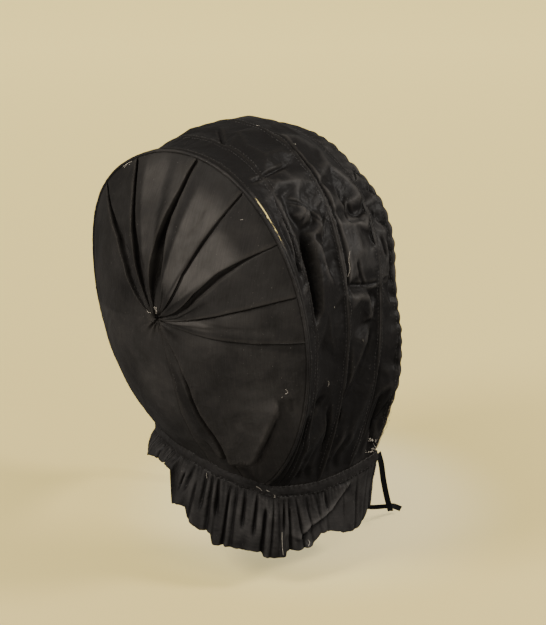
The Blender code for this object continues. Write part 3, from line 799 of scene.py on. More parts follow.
# The cloth of one gore, from hoop to hoop: its outer face in mm, how worn it is, and where it is cut.
def goreGrid(gore, allFolds, triangles):
    sides = np.linspace(-1, 1, hood["columns"])
    shares = np.linspace(0, 1, hood["rows"])
    back, front = hoopPoint(gore, sides), hoopPoint(gore + 1, sides)
    width = np.linalg.norm(front - back, axis=1)
    first = hood["start"] / width if gore == 0 else -1.2 / width    # tucked under the gore behind
    share = first[None, :] + (1 - first[None, :]) * shares[:, None]
    if gore == 3:
        beyond = np.array([a for a, _ in hood["hem"]])[:, None] / width
        share = np.vstack([share, 1 + beyond])
    side = np.broadcast_to(sides[None, :], share.shape)
    base = hoodPoint(gore + np.minimum(share, 1), side)
    extra = np.maximum(share - 1, 0)[..., None] * (front - back)[None]
    base = base + extra
    out = outOf(base)
    length = np.linalg.norm(np.diff(hoodPoint(gore + 0.5 + 0 * sides, sides), axis=0, prepend=np.nan), axis=1)
    length[0] = 0
    u = np.broadcast_to(length.cumsum()[None, :], share.shape)
    fromBack, toFront = share * width, (1 - share) * width
    inner = np.clip(share, 0, 1)
    middle = np.sin(math.pi * inner)
    free = smooth((1 - np.abs(side)) / 0.12)

    # crushed silk, with a narrow rib over each cane
    bent = 10 * swell(base, 46, 21 + gore), 8 * swell(base, 40, 31 + gore)
    lift = creaseHeight(np.minimum(gore + share, 3.9999) + 0.012 * swell(base, 14, 17),
                        side + 0.006 * swell(base, 17, 18),
                        triangles)
    lift = hood["relief"][gore] * blurred(lift, 2)
    place = fromBack - (hood["caneAhead"] if gore == 0 else 0)
    low = smooth((np.abs(side) - 0.5) / 0.25)
    crushed = 0.3 + 0.7 * np.exp(-((np.abs(side) - 0.36) / 0.17) ** 2)
    small = facets((u - bent[1]) / 15 + 7.3, (fromBack + bent[0]) / 11 + 3.1, 51 + gore)
    streak = facets((u + bent[1]) / 90, (fromBack + 0.8 * bent[0]) / 12, 61 + gore)
    soft = hood["puff"][gore] * swell(base, 26, 11 + gore) + 0.3 * swell(base, 9, 15 + gore)
    lift = lift + (soft + hood["small"][gore] * small * crushed ** 1.5) * middle ** 0.5 * free
    lift = lift + hood["long"][gore] * streak * middle ** 0.8 * (0.2 + 0.8 * low) * free
    fine = facets((u + bent[1]) / 7 + 1.3, (fromBack - bent[0]) / 6, 75 + gore)
    lift = lift + hood["fine"] * fine * crushed ** 2 * middle ** 0.5 * free
    # small gathers into the stitching
    for x, seed in ((np.abs(place), 71), (toFront, 81)):
        phase = (u + 3 * swell(base, 15, seed + gore)) / hood["gatherPitch"]
        ripple = 1 - 2 * np.abs(np.sin(math.pi * phase)) ** 0.8
        size = np.maximum(swell(base, 22, seed + 5), 0)
        lift = lift - (hood["gather"] * ripple * size * np.exp(-x / hood["gatherLength"])
                       * smooth(x / 3) * free)
    # gathers into the band at the feet
    foot = smooth((np.abs(side) - 0.84) / 0.1) * smooth((1 - np.abs(side)) / 0.03)
    lift = lift + middle * foot * np.cos(2 * math.pi * fromBack / 13.0 + 3 * swell(base, 20, 91))
    for fold, line in allFolds:
        lift = lift + foldLift(base, out, fold, line) * smooth(middle * 3) * smooth((1 - np.abs(side)) / 0.03)
    # drawn over the canes as a narrow ridge where it sinks between them
    for x in (place, toFront):
        drawn = hood["ribHeight"] - hood["ribSlope"] * np.maximum(np.abs(x) - 0.6, 0) ** 1.5
        lift = np.maximum(lift + hood["ribHeight"] * np.exp(-(x / hood["ribWidth"]) ** 2), drawn)
    if gore == 3:
        # bunched over the front cane between the stitches
        bunch = np.abs(np.sin(math.pi * (u + 4 * swell(base, 30, 97)) / hood["scallopPitch"])) - 0.15
        lift = lift + (hood["scallop"] * bunch * (0.75 + 0.5 * swell(base, 25, 98))
                       * np.exp(-np.abs(toFront) / 6) * free)
    lift = blurred(lift)
    if gore == 0:
        lift = lift - 1.2 * np.exp(-(fromBack / 1.8) ** 2)
    else:
        lift = lift - 0.5 * (share < -0.001)
    if gore == 3:
        for k, (_, down) in enumerate(hood["hem"]):
            lift[hood["rows"] + k] = lift[hood["rows"] - 1] * (1 - 0.12 * k) + down
    crest = lift - blurred(lift, 6)
    wear = np.clip(crest * 0.25, 0, 0.15) + 0.05 * np.exp(-(np.minimum(np.abs(place),
                                                                       np.abs(toFront)) / 0.9) ** 2)
    # colour: each gore's own level from hood fade, darker towards the low sides, and painted light and shade,
    # paler where the cloth stands above its surroundings and darker in its hollows; then the listed patches,
    # two of them painted shade
    fade = hood["fade"][gore] - 0.25 * low + 0.35 * np.clip(lift - blurred(lift, 30), -1.5, 1.5)
    for start, end, near, far, much in hoodFadeAndShade:
        across = smooth((gore + share - start) / 0.15 + 0.5) * smooth((end - gore - share) / 0.15 + 0.5)
        fade = fade + much * across * smooth((side - near) / 0.04 + 0.5) * smooth((far - side) / 0.04 + 0.5)
    lift = lift * smooth((1 - np.abs(side)) / 0.02 + 0.15)
    cut = None
    if gore == 0:
        ragged = 0.6 * swell(base, 5, 95) + 0.5 * swell(base, 2.2, 96)
        ends = smooth((side - slit["from"]) / 0.03) * smooth((slit["to"] - side) / 0.03)
        cut = (np.abs(place - 0.4) < (slit["half"] + ragged) * ends) & (ends > 0.2)
        wear = wear + 1.6 * np.exp(-(np.maximum(np.abs(place - 0.4) - slit["half"], 0) / 1.0) ** 2) * ends
    return base + out * lift[..., None], wear, fade, cut


def makeHood():
    allFolds = [hoodFold(fold, False) for fold in hoodFolds]
    allFolds += [hoodFold(fold, True) for fold in hoodFolds if min(side for _, side in fold.path) > 0.15]
    triangles = creaseTriangles()
    grids = []
    for gore in range(4):
        grid, wear, fade, cut = goreGrid(gore, allFolds, triangles)
        piece = clothFrom(f"silk_gore_{gore + 1}", grid,
                          lambda p: p + (0, 0, seatHeight / 2) * np.ones_like(p),
                          "silk", hood["wall"], cut=cut, wear=wear, fade=fade)
        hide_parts("hood")
        grids.append(grid)
    return grids


goreGrids = makeHood()

# The pleated back
back = {
    "centre": (0.0, 118.0, 176.0), "inset": 0.6, "crown": 2.2, "wall": 0.45, "rings": 70, "hole": 0.022,
}
# Where the back is faded: angle from and to, share of the way out from and to, and how much.
backFaded = [(9, 28, 0.25, 0.85, 1.0), (28, 49, 0.25, 0.75, 0.95), (-22, -6, 0.3, 0.95, 0.5),
             (-5, 7, 0.35, 0.95, 0.35),
             (78, 92, 0.12, 0.45, 0.75), (74, 92, 0.5, 0.8, 0.3), (96, 158, 0.25, 1.0, 0.28),
             (164, 260, 0.3, 0.95, 0.22)]

# Each pleat's line from the rim to the point, as angles from the top in degrees, towards the wearer's right.
# lip is how far its edge stands up and depth how deep the hollow beside it is, in mm, and gaps is how wide
# that hollow is at the same places as the angles.
Pleat = namedtuple("Pleat", "lip depth rim gaps angles")
pleatAt = [1.0, 0.8, 0.6, 0.4, 0.2, 0.05]
pleats = [
    Pleat(1.4, 8.5, 0.5, (1.5, 3, 7, 12, 13, 6), (-49, -48, -46, -49, -60, -66)),
    Pleat(1.6, 8.5, 0.6, (2.5, 2.5, 4, 8, 10, 5), (-27, -27, -29, -32, -36, -38)),
    Pleat(2.2, 14.0, 0.4, (2.5, 3, 5.5, 11, 14, 8), (4, 2, -2.5, -8, -16, -16)),
    Pleat(1.3, 4.0, 0.6, (2, 2, 2.5, 2.5, 2.5, 1), (27, 27, 27.5, 29, 36, 42)),
    Pleat(1.2, 6.5, 0.15, (1, 2.5, 7, 7, 5, 1), (51, 49, 47.5, 51, 62, 66)),
    Pleat(1.6, 2.2, 0.7, (1.5, 1.5, 1.5, 2, 2.5, 1), (73, 73.5, 74.5, 76.5, 80, 84)),
    Pleat(0.9, 0.3, 0.1, (4, 4, 3, 3, 2, 1), (93, 94, 95, 96, 98, 100)),
    Pleat(1.8, 8.0, 0.9, (3, 3, 2.5, 2, 1.5, 1), (161, 159, 157, 153, 142, 138)),
    Pleat(0.4, 0.8, 0.8, (2, 2, 2, 2, 2, 1), (172, 171, 170, 166, 160, 156)),
]
# The cloth across a pleat: mm from its edge, and height as shares of lip and of depth.
pleatShape = [(-15, 0.0, 0.0), (-11, 0.14, 0.0), (-7.5, 0.36, 0.0), (-4.5, 0.62, 0.0), (-2.2, 0.84, 0.0),
              (-0.8, 0.97, 0.0), (0.0, 1.0, 0.0), (0.35, 0.86, -0.06), (0.1, 0.6, -0.3), (-1.2, 0.3, -0.55),
              (-1.6, 0.1, -0.85), (-0.6, 0.0, -1.0)]
gapShape = [(0.3, 0.05, -1.0), (0.4, 0.35, -0.95), (0.4, 0.7, -0.7), (0.5, 0.95, -0.3), (1.0, 1.1, -0.08),
            (2.4, 1.2, 0.0)]


def backRim():
    centre = np.array(back["centre"])
    arch = hoopPoint(0, np.linspace(1, -1, 385))
    toward = centre - arch
    arch = arch + toward / np.linalg.norm(toward, axis=1, keepdims=True) * back["inset"]
    edge = neckPoint(np.linspace(leftFoot + 0.06, rightFoot - 0.06, 161)) - (0, 0, 1.5)
    rim = np.vstack([arch[1:-1], edge])
    turned = np.degrees(np.arctan2(-rim[:, 0], rim[:, 2] - centre[2]))
    order = np.argsort(turned)
    return turned[order], rim[order]


def backPoint(angle, ring, turned, rim):
    centre = np.array(back["centre"])
    angle = (angle + 180) % 360 - 180
    edge = np.stack([np.interp(angle, turned, rim[:, k], period=360) for k in range(3)], -1)
    point = centre + (edge - centre) * ring[..., None]
    point[..., 1] = edge[..., 1] + (centre[1] - edge[..., 1]) * (1 - ring ** back["crown"])
    return point


# Creases on the back besides the pleats, as places (angle, share of the way out).
backFolds = [
    Fold("step", 5.0, -5.0, 0.15, [(165, 0.74), (162, 0.84), (154, 0.885), (146, 0.88), (138, 0.875),
                                   (127, 0.885),
                                   (120, 0.86)]),
    Fold("valley", 1.8, 6.0, 0.15, [(165, 0.74), (162, 0.84), (154, 0.885), (146, 0.88), (138, 0.875),
                                    (127, 0.885)]),
    Fold("valley", 1.3, 4.5, 0.15, [(148, 0.3), (156.5, 0.5), (158, 0.7), (160, 0.85), (162, 0.97)]),
    Fold("valley", 1.2, 2.0, 0.2, [(152, 0.88), (157, 0.95)]),
    Fold("valley", 1.3, 2.0, 0.2, [(118, 0.93), (126, 0.95)]),
    Fold("valley", 1.0, 1.4, 0.3, [(-66, 0.74), (-69, 0.6)]),
    Fold("valley", 1.3, 1.4, 0.3, [(78, 0.3), (88, 0.7)]),
    Fold("ridge", 2.0, 1.6, 0.3, [(84, 0.12), (86, 0.5)]),
    Fold("valley", 2.2, 1.6, 0.3, [(18, 0.86), (22, 0.7), (17, 0.55)]),
    Fold("valley", 2.0, 1.2, 0.3, [(-100, 0.5), (-120, 0.78)]),
]


def makeBack():
    turned, rim = backRim()
    rings = back["hole"] + (1 - back["hole"]) * np.linspace(0, 1, back["rings"]) ** 0.92
    reach = np.linalg.norm(rim - np.array(back["centre"]), axis=1)
    count = len(pleats)
    lines = np.array([np.interp(rings, pleatAt[::-1], pleat.angles[::-1]) for pleat in pleats])
    following = np.vstack([lines[1:], lines[:1] + 360])
    earlier = np.vstack([lines[-1:] - 360, lines[:-1]])
    angle, height, edge = [], [], []
    fade = smooth(rings / 0.16)
    for k, pleat in enumerate(pleats):
        nextPleat = pleats[(k + 1) % count]
        radius = rings * np.interp(lines[k], turned, reach, period=360)
        perMm = np.degrees(1 / radius)
        room = np.minimum((following[k] - lines[k]) / perMm, (lines[k] - earlier[k]) / perMm)
        scale = np.minimum(1.0, room / 34)
        strength = fade * (pleat.rim + (1 - pleat.rim)
                           * smooth((1 - rings) / 0.35)) * smooth((1 - rings) / 0.03)
        tall = np.minimum(scale * 1.6, 1.0)
        gap = np.interp(rings, pleatAt[::-1], pleat.gaps[::-1])
        gap = np.minimum(gap, 0.6 * (following[k] - lines[k]) / perMm)
        shape = [(t * scale, up * pleat.lip + down * pleat.depth) for t, up, down in pleatShape]
        shape += [(t * np.minimum(gap, 4.0) * 0.25 * scale + s * gap, down * pleat.depth) for t, s,
                  down in gapShape]
        for t, level in shape:
            angle.append(lines[k] + t * perMm)
            height.append(level * strength * tall)
            edge.append(1.0 if level > 0.75 * pleat.lip > 0.3 else 0.0)
        # plain cloth up to the next pleat, with a low swelling
        end = angle[-1]
        radiusNext = rings * np.interp(following[k], turned, reach, period=360)
        roomNext = (following[k] - lines[k]) / np.degrees(1 / radiusNext)
        start = following[k] - 15 * np.minimum(1.0, roomNext / 34) * np.degrees(1 / radiusNext)
        steps = max(6, int(round(float((start - end)[-1] / perMm[-1]) / 1.6)))
        for step in range(1, steps):
            share = step / steps
            angle.append(end + (start - end) * share)
            height.append(0.5 * np.sin(math.pi * share) * strength)
            edge.append(0.0)
    angle, height = np.array(angle).T, np.array(height).T
    edge = np.broadcast_to(np.array(edge)[None, :], angle.shape)
    ring = np.broadcast_to(rings[:, None], angle.shape)
    base = backPoint(angle, ring, turned, rim)
    smoothBase = backPoint(np.broadcast_to(np.linspace(-180, 180, 721)[None], (len(rings), 721)),
                           np.broadcast_to(rings[:, None], (len(rings), 721)), turned, rim)
    outSmooth = outOf(smoothBase)
    outSmooth *= np.where((outSmooth * (0, 1, 0)).sum(-1, keepdims=True) < 0, -1, 1)
    out = np.stack([np.stack([np.interp((angle[i] + 180) % 360 - 180, np.linspace(-180, 180, 721),
                                        outSmooth[i, :, k]) for k in range(3)], -1)
                                        for i in range(len(rings))])
    rough = 0.9 * swell(base, 30, 201) + 0.45 * swell(base, 12, 202) + 0.2 * swell(base, 6, 203)
    lift = height + rough * smooth((1 - ring) / 0.1) * smooth(ring / 0.2)
    for fold in backFolds:
        path = np.array(fold.path)
        line = backPoint(path[:, 0], path[:, 1], turned, rim)
        lift = lift + foldLift(base, out, fold, line) * smooth((1 - ring) / 0.03)
    # drawn together at the point: deep small gathers that turn in round the hole
    draw = np.exp(-((ring - back["hole"]) / 0.05))
    lift = lift + draw * (2.6 * np.cos(np.radians(angle) * 13) - 5.0
                          * np.exp(-((ring - back["hole"]) / 0.018)))
    crest = lift - blurred(lift, 4)
    wear = np.clip(crest * 0.12, 0, 0.1) + 0.1 * edge * smooth(ring / 0.2) + 0.12 * draw
    grid = base + out * lift[..., None]
    fade = np.zeros(lift.shape)
    for start, end, inner, outer, much in backFaded:
        for turn in (angle, angle + 360):
            inside = smooth((turn - start) / 3) * smooth((end - turn) / 3)
            fade += much * inside * smooth((ring - inner) / 0.2 + 0.5) * smooth((outer - ring) / 0.15 + 0.5)
    piece = clothFrom("silk_back", grid, lambda p: np.tile((0, 1, 0), (len(p), 1)), "back", back["wall"],
                      closed=True, wear=wear, fade=fade, threads=grid[..., [2, 0]] * mm)
    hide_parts("back_panel")
    return grid, angle, rings


backGrid, backAngles, backRings = makeBack()
print("pleated back made")

# The corded seam round the back
piping = {"radius": 1.6, "points": 760, "sides": 14, "end": 0.998}


def makePiping():
    side = np.linspace(-piping["end"], piping["end"], piping["points"])
    line = hoopPoint(0, side)
    along = np.gradient(line, axis=0)
    along /= np.linalg.norm(along, axis=1, keepdims=True)
    aside = np.cross(along, (0.0, 1.0, 0.0))
    aside /= np.linalg.norm(aside, axis=1, keepdims=True)
    other = np.cross(along, aside)
    turn = np.linspace(0, 2 * math.pi, piping["sides"], endpoint=False)[:, None]
    tube = line[None] + piping["radius"] * (aside[None] * np.cos(turn)[..., None] + other[None]
                                            * np.sin(turn)[..., None])
    away = tube - line[None]
    pucker = 0.13 * swell(tube, 3.2, 301) + 0.1 * swell(tube, 9, 302) - 0.05
    tube = tube + away * pucker[..., None]
    rows, columns = tube.shape[1], tube.shape[0]
    points = tube.transpose(1, 0, 2)
    i, j = np.meshgrid(np.arange(rows - 1), np.arange(columns), indexing="ij")
    k = (j + 1) % columns
    faces = np.stack([i * columns + j, (i + 1) * columns + j, (i + 1) * columns + k, i * columns + k], -1)
    mesh = bpy.data.meshes.new("corded_seam")
    ends = [list(range(columns)), [(rows - 1) * columns + n for n in range(columns)][::-1]]
    mesh.from_pydata((points.reshape(-1, 3) * mm - (0, 0, seatHeight)).tolist(), [],
                     faces.reshape(-1, 4).tolist() + ends)
    mesh.uv_layers.new(name="cloth")
    worn = mesh.attributes.new("wear", "FLOAT", "POINT")
    wear = 0.06 + 0.1 * swell(points, 18, 303)
    worn.data.foreach_set("value", np.clip(wear, 0, 1).ravel())
    mesh.shade_smooth()
    piece = bpy.data.objects.new("corded_seam", mesh)
    bpy.context.scene.collection.objects.link(piece)
    fixNormals(piece)
    finishAs(piece, "silk")
    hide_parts("back_piping")
    return piece


def fixNormals(piece):
    bpy.ops.object.select_all(action="DESELECT")
    bpy.context.view_layer.objects.active = piece
    piece.select_set(True)
    bpy.ops.object.mode_set(mode="EDIT")
    bpy.ops.mesh.select_all(action="SELECT")
    bpy.ops.mesh.normals_make_consistent(inside=False)
    bpy.ops.object.mode_set(mode="OBJECT")


makePiping()
print("corded seam made")

# Neck band and ruffle
band = {"height": 12.0, "wall": 2.2, "columns": 1100, "rows": 14}


def makeBand():
    at = np.linspace(0, lastStation, band["columns"])
    share = np.linspace(0, 1, band["rows"])
    point, out = neckPoint(at), neckOut(at)
    grid = np.zeros((band["rows"], band["columns"], 3))
    for i, down in enumerate(share):
        grid[i] = point - (0, 0, down * band["height"] - (1 - down) * 1.2) + out * 1.2
    outs = np.broadcast_to(out[None], grid.shape)
    shares = np.broadcast_to(share[:, None], grid.shape[:2])
    length = np.linalg.norm(np.diff(point, axis=0, prepend=point[:1]), axis=1).cumsum()
    run = np.broadcast_to(length[None], grid.shape[:2])
    pucker = np.cos(2 * math.pi * (run + 2 * swell(grid, 18, 401)) / 5.6)
    edge = np.minimum(shares, 1 - shares)
    lift = (0.55 * np.sin(math.pi * shares) ** 0.5 + 0.5 * pucker * smooth(1 - edge * 3)
            + 0.7 * swell(grid, 9, 402))
    lift = lift - 0.7 * np.exp(-((edge - 0.17) / 0.05) ** 2) + 0.3 * swell(grid, 4, 404)
    lift = lift + 0.6 * facets(run / 9, shares * 2.2, 403)
    lift = lift - 0.7 * smooth((0.06 - edge) / 0.06)
    wear = 0.1 * np.exp(-(edge / 0.05) ** 2)
    grid = grid + outs * blurred(lift)[..., None]
    piece = clothFrom("silk_band", grid, lambda p: p * (1, 1, 0) + (0, 0.03, 0), "silk", band["wall"],
                      wear=wear)
    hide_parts("neck_band")
    return grid


ruffle = {"columns": 980, "rows": 46, "wall": 0.45, "depth": 5.0}
# The hem's drop below the neck line, in mm, by station.
ruffleHem = [(0, 36), (1, 36), (2, 35), (3, 35), (4.2, 34), (4.45, 32), (5.25, 29), (5.7, 25), (6.3, 22),
             (6.57, 23),
             (6.65, 59), (6.93, 57), (7.08, 55), (7.13, 67), (7.45, 72), (7.73, 69), (7.77, 79), (7.9, 80),
             (8.2, 75),
             (8.5, 70), (8.87, 69), (8.93, 74), (9.4, 73), (9.75, 72), (9.8, 66), (10.3, 67), (10.7, 64),
             (10.98, 54),
             (11.3, 57), (11.76, 67), (12.2, 75), (12.55, 77), (12.8, 74), (13.1, 66), (14, 65)]
# Hollows between the ruffle's folds, by station at the hem, and how far further on they start at the band.
Hollow = namedtuple("Hollow", "at lean")
ruffleHollows = [Hollow(6.71, 0.27), Hollow(6.92, 0.2), Hollow(7.15, 0.14), Hollow(7.37, 0.11),
                 Hollow(7.58, 0.05),
                 Hollow(7.77, 0.0), Hollow(7.97, 0.11), Hollow(8.18, 0.08), Hollow(8.40, 0.05),
                 Hollow(8.66, 0.08),
                 Hollow(8.9, 0.12), Hollow(9.15, 0.16), Hollow(9.42, 0.18), Hollow(9.68, 0.21),
                 Hollow(10.02, 0.05),
                 Hollow(10.46, -0.16), Hollow(10.75, -0.15), Hollow(11.0, -0.1)]


def makeRuffle():
    at = np.linspace(0, lastStation, ruffle["columns"])
    share = np.linspace(0, 1, ruffle["rows"])
    rng = np.random.default_rng(501)
    hollows = [(h.at, h.lean) for h in ruffleHollows]
    place = 6.45
    while place > 0:
        hollows.append((place, 0.02 * rng.normal()))
        place -= rng.uniform(0.25, 0.5)
    place = 11.25
    while place < lastStation:
        hollows.append((place, 0.05 * rng.normal()))
        place += rng.uniform(0.3, 0.6)
    hollows = np.array(sorted(hollows))
    count = len(hollows)
    depths, widths = rng.uniform(0.4, 1.1, count), rng.uniform(1.0, 2.6, count)
    starts = np.where(rng.random(count) < 0.2, rng.uniform(0.1, 0.3, count), -0.15)
    ends = np.where(rng.random(count) < 0.3, rng.uniform(0.6, 0.9, count), 1.3)
    lips = rng.uniform(-0.6, 0.9, count)
    drop = np.interp(at, *np.array(ruffleHem).T)
    hang = drop - band["height"] + 1.5
    flare = through(neckLine, at)[:, 4]
    point, out = neckPoint(at), neckOut(at)
    run = np.linalg.norm(np.diff(point, axis=0, prepend=point[:1]), axis=1).cumsum()
    grid = np.zeros((ruffle["rows"], ruffle["columns"], 3))
    lift = np.zeros(grid.shape[:2])
    for i, down in enumerate(share):
        places = np.stack([run, 0 * run, 0 * run + 0.45 * down * 60], -1)
        body = 2.3 * swell(places, 21, 510) + 1.1 * swell(places, 9, 511)
        lines = hollows[:, 0] + hollows[:, 1] * (1 - down)
        calm = 1 - 0.7 * smooth((at - (12.15 - 1.57 * smooth(down / 0.75))) / 0.25)
        for line, depth, width, start, end, lip in zip(lines, depths, widths, starts, ends, lips):
            x = (run - np.interp(line, at, run)) / (width * (0.6 + 0.6 * down))
            strong = smooth((down - start) / 0.2) * smooth((end - down) / 0.25)
            body = body - ruffle["depth"] * depth * strong * np.exp(-np.abs(x) ** 1.3)
            body = body + 0.3 * ruffle["depth"] * lip * depth * strong * np.exp(-((x - 2.6) / 1.6) ** 2)
        fine = (np.cos(2 * math.pi * (run + 2.5 * swell(places, 12, 512)) / 4.4)
                * (0.3 + np.maximum(swell(places, 25, 513), 0)))
        body = body * (0.25 + 0.75 * smooth(down / 0.35)) + 0.9 * fine * np.exp(-down * hang / 10)
        lift[i] = body * calm * smooth(down / 0.05 + 0.1)
        deep = point - (0, 0, 1) * (band["height"] - 1.5 + hang * down)[:, None]
        grid[i] = deep + out * (0.4 + (0.8 + flare) * down ** 0.8)[:, None]
    # the cloth turned over itself at the right front
    turnedOver = np.array([(12.15, 3), (11.42, 21), (10.58, 34), (10.35, 46)])
    base = grid.copy()
    outs = np.broadcast_to(out[None], grid.shape)
    line = neckPoint(turnedOver[:, 0]) - np.array([0, 0, 1]) * (band["height"] + turnedOver[:, 1])[:, None]
    line = line + neckOut(turnedOver[:, 0]) * (through(neckLine, turnedOver[:, 0])[:, 4] * 0.6)[:, None]
    lift = lift + foldLift(base, outs, Fold("step", 3.6, 3.0, 0.1, None), line)
    lift = lift + 0.35 * swell(base, 6, 503, (1, 1, 2.5))
    lift = lift + 0.7 * facets(np.broadcast_to(at * 3.1, lift.shape),
                               share[:, None] * 3.2 + 0.4 * np.sin(at * 9)[None], 504)
    lift = blurred(lift)
    lift = lift * smooth(share[:, None] / 0.1)
    grid = base + outs * lift[..., None]
    # a slightly uneven, frayed hem
    ragged = 0.9 * swell(grid, 7, 505) + 0.5 * swell(grid, 2.5, 506)
    grid[..., 2] += ragged * smooth((share[:, None] - 0.9) / 0.1)
    crest = lift - blurred(lift, 5)
    wear = np.clip(crest * 0.1, 0, 0.1) + 0.2 * smooth((share[:, None] - 0.97) / 0.03)
    # colour: painted light and shade, paler where the cloth stands above its surroundings and darker in its
    # hollows, slightly darker overall, and paler beyond the turned-over cloth at the right front
    fade = 0.45 * np.clip(lift - blurred(lift, 30), -1.5, 1.5)
    fade = fade - 0.03 + 0.15 * smooth((at - (12.1 - 1.57 * smooth(share[:, None] / 0.75))) / 0.1)
    piece = clothFrom("silk_ruffle", grid, lambda p: p * (1, 1, 0) + (0, 0.03, 0), "silk", ruffle["wall"],
                      wear=wear,
                      fade=fade)
    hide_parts("ruffle")
    return grid


bandGrid = makeBand()
ruffleGrid = makeRuffle()
print("neck band and ruffle made")

# Ribbon ties
tie = {"width": 6.0, "wall": 0.5, "steps": 150, "across": 9}
# Middle lines in mm above the neck edge, and how far the ribbon is turned up from level, in degrees.
tieRight = [(-118, -89.0, -7, 75), (-116, -97, -24, 35), (-112, -107, -47, 25), (-108, -119, -72, 30),
            (-104, -131, -93, 25), (-103, -134, -98, 20)]
tieLeft = [(115, -75.1, -2, 0), (112, -82, -24, 0), (98, -90, -50, 0), (68, -100, -72, 10),
           (25, -107, -86, 30),
           (-20, -111, -92, 50), (-58, -114, -94, 65), (-84, -120, -94, 75), (-98.5, -132, -93, 75),
           (-98, -143, -97, 75), (-96, -153, -103, 78), (-96, -162, -109, 80)]


def makeTie(name, route, node, seed):
    read = through(route, np.linspace(0, len(route) - 1, tie["steps"]))
    line, turn = read[:, :3], np.radians(read[:, 3:])
    along = np.gradient(line, axis=0)
    level = np.cross(along, (0.0, 0.0, 1.0))
    level /= np.linalg.norm(level, axis=1, keepdims=True)
    upright = np.cross(level, along)
    upright /= np.linalg.norm(upright, axis=1, keepdims=True)
    half = level * np.cos(turn) + upright * np.sin(turn)
    face = np.cross(half, along / np.linalg.norm(along, axis=1, keepdims=True))
    share = np.linspace(-1, 1, tie["across"])[:, None, None]
    grid = line[None] + half[None] * share * tie["width"] / 2
    dip = 0.35 * swell(grid, 12, seed) + 0.25 * (1 - share[..., 0] ** 2) + 0.15 * swell(grid, 4, seed + 1)
    grid = grid + face[None] * dip[..., None]
    edge = np.broadcast_to(0.3 * smooth((np.abs(share[..., 0]) - 0.8) / 0.2), grid.shape[:2])
    piece = clothFrom(name, grid, lambda p: np.tile((1, 0, 1), (len(p), 1)), "ribbon", tie["wall"], wear=edge)
    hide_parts(node)


makeTie("ribbon_right", tieRight, "tie_right", 601)
makeTie("ribbon_left", tieLeft, "tie_left", 611)
print("ties made")

# Stitches and loose threads
sewing = {"pitch": 3.6, "dash": 2.3, "fromHoop": 3.2, "radius": 0.2, "loose": 0.14}


# A point of a made grid, raised off its face by so many mm. middle is a point on the inner side.
def raised(grid, row, column, up, middle=(0.0, 0.0, 165.0)):
    row = int(np.clip(round(row), 1, grid.shape[0] - 2))
    column = int(np.clip(round(column), 1, grid.shape[1] - 2))
    out = np.cross(grid[row + 1, column] - grid[row - 1, column],
                   grid[row, column + 1] - grid[row, column - 1])
    out = out / max(np.linalg.norm(out), 1e-9)
    return grid[row, column] + out * up * (1 if out @ (grid[row, column] - middle) > 0 else -1)


def onHood(along, side, up):
    gore = min(int(along), 3)
    width = np.linalg.norm(hoopPoint(gore + 1, [side])[0] - hoopPoint(gore, [side])[0])
    first = (hood["start"] if gore == 0 else -1.2) / width
    row = (along - gore - first) / (1 - first) * (hood["rows"] - 1)
    return raised(goreGrids[gore], row, (side + 1) / 2 * (hood["columns"] - 1), up)


def onBack(angle, ring, up):
    row = int(np.argmin(np.abs(backRings - ring)))
    turn = (backAngles[row] - angle + 180) % 360 - 180
    return raised(backGrid, row, int(np.argmin(np.abs(turn))), up, (0.0, 0.0, 176.0))


def onRuffle(station, down, up):
    drop = np.interp(station, *np.array(ruffleHem).T)
    row = (down - band["height"] + 1.5) / (drop - band["height"] + 1.5) * (ruffle["rows"] - 1)
    return raised(ruffleGrid, row, station / lastStation * (ruffle["columns"] - 1), up, (0.0, -20.0, -30.0))


def onBand(station, down, up):
    return raised(bandGrid, (down + 1.2) / 13.2 * (band["rows"] - 1),
                  station / lastStation * (band["columns"] - 1), up,
                  (0.0, -20.0, -5.0))


# A row of stitches: short threads along a line of places on a surface.
def stitches(place, line, pitch, dash, up=0.12):
    path = np.array([place(*p, 0.0) for p in line])
    run = np.linalg.norm(np.diff(path, axis=0, prepend=path[:1]), axis=1).cumsum()
    line, made = np.array(line), []
    for start in np.arange(1.0, run[-1] - dash, pitch):
        at = start + dash * np.array([0.0, 0.3, 0.7, 1.0])
        spots = [place(np.interp(a, run, line[:, 0]), np.interp(a, run, line[:, 1]), u)
                 for a, u in zip(at, (-0.25, up, up, -0.25))]
        made.append(spots)
    return made


def casingStitches():
    lines = []
    for gore in range(4):
        for fromHoop in (sewing["fromHoop"] + (hood["caneAhead"] if gore == 0 else 0), -sewing["fromHoop"]):
            places = []
            for side in np.linspace(-0.97, 0.97, 160):
                width = np.linalg.norm(hoopPoint(gore + 1, [side])[0] - hoopPoint(gore, [side])[0])
                places.append((gore + (fromHoop / width) % 1.0, side))
            lines += stitches(onHood, places, sewing["pitch"], sewing["dash"])
    seam = [(a, r) for a, r in zip(np.interp(np.linspace(1, 0.1, 60), pleatAt[::-1], pleats[-1].angles[::-1]),
                                   np.linspace(0.93, 0.2, 60))]
    lines += stitches(onBack, seam, 4.6, 2.8)
    lines += stitches(onBand, [(s, 10.3) for s in np.linspace(0.1, 13.9, 260)], 4.2, 1.6, -0.05)
    return lines
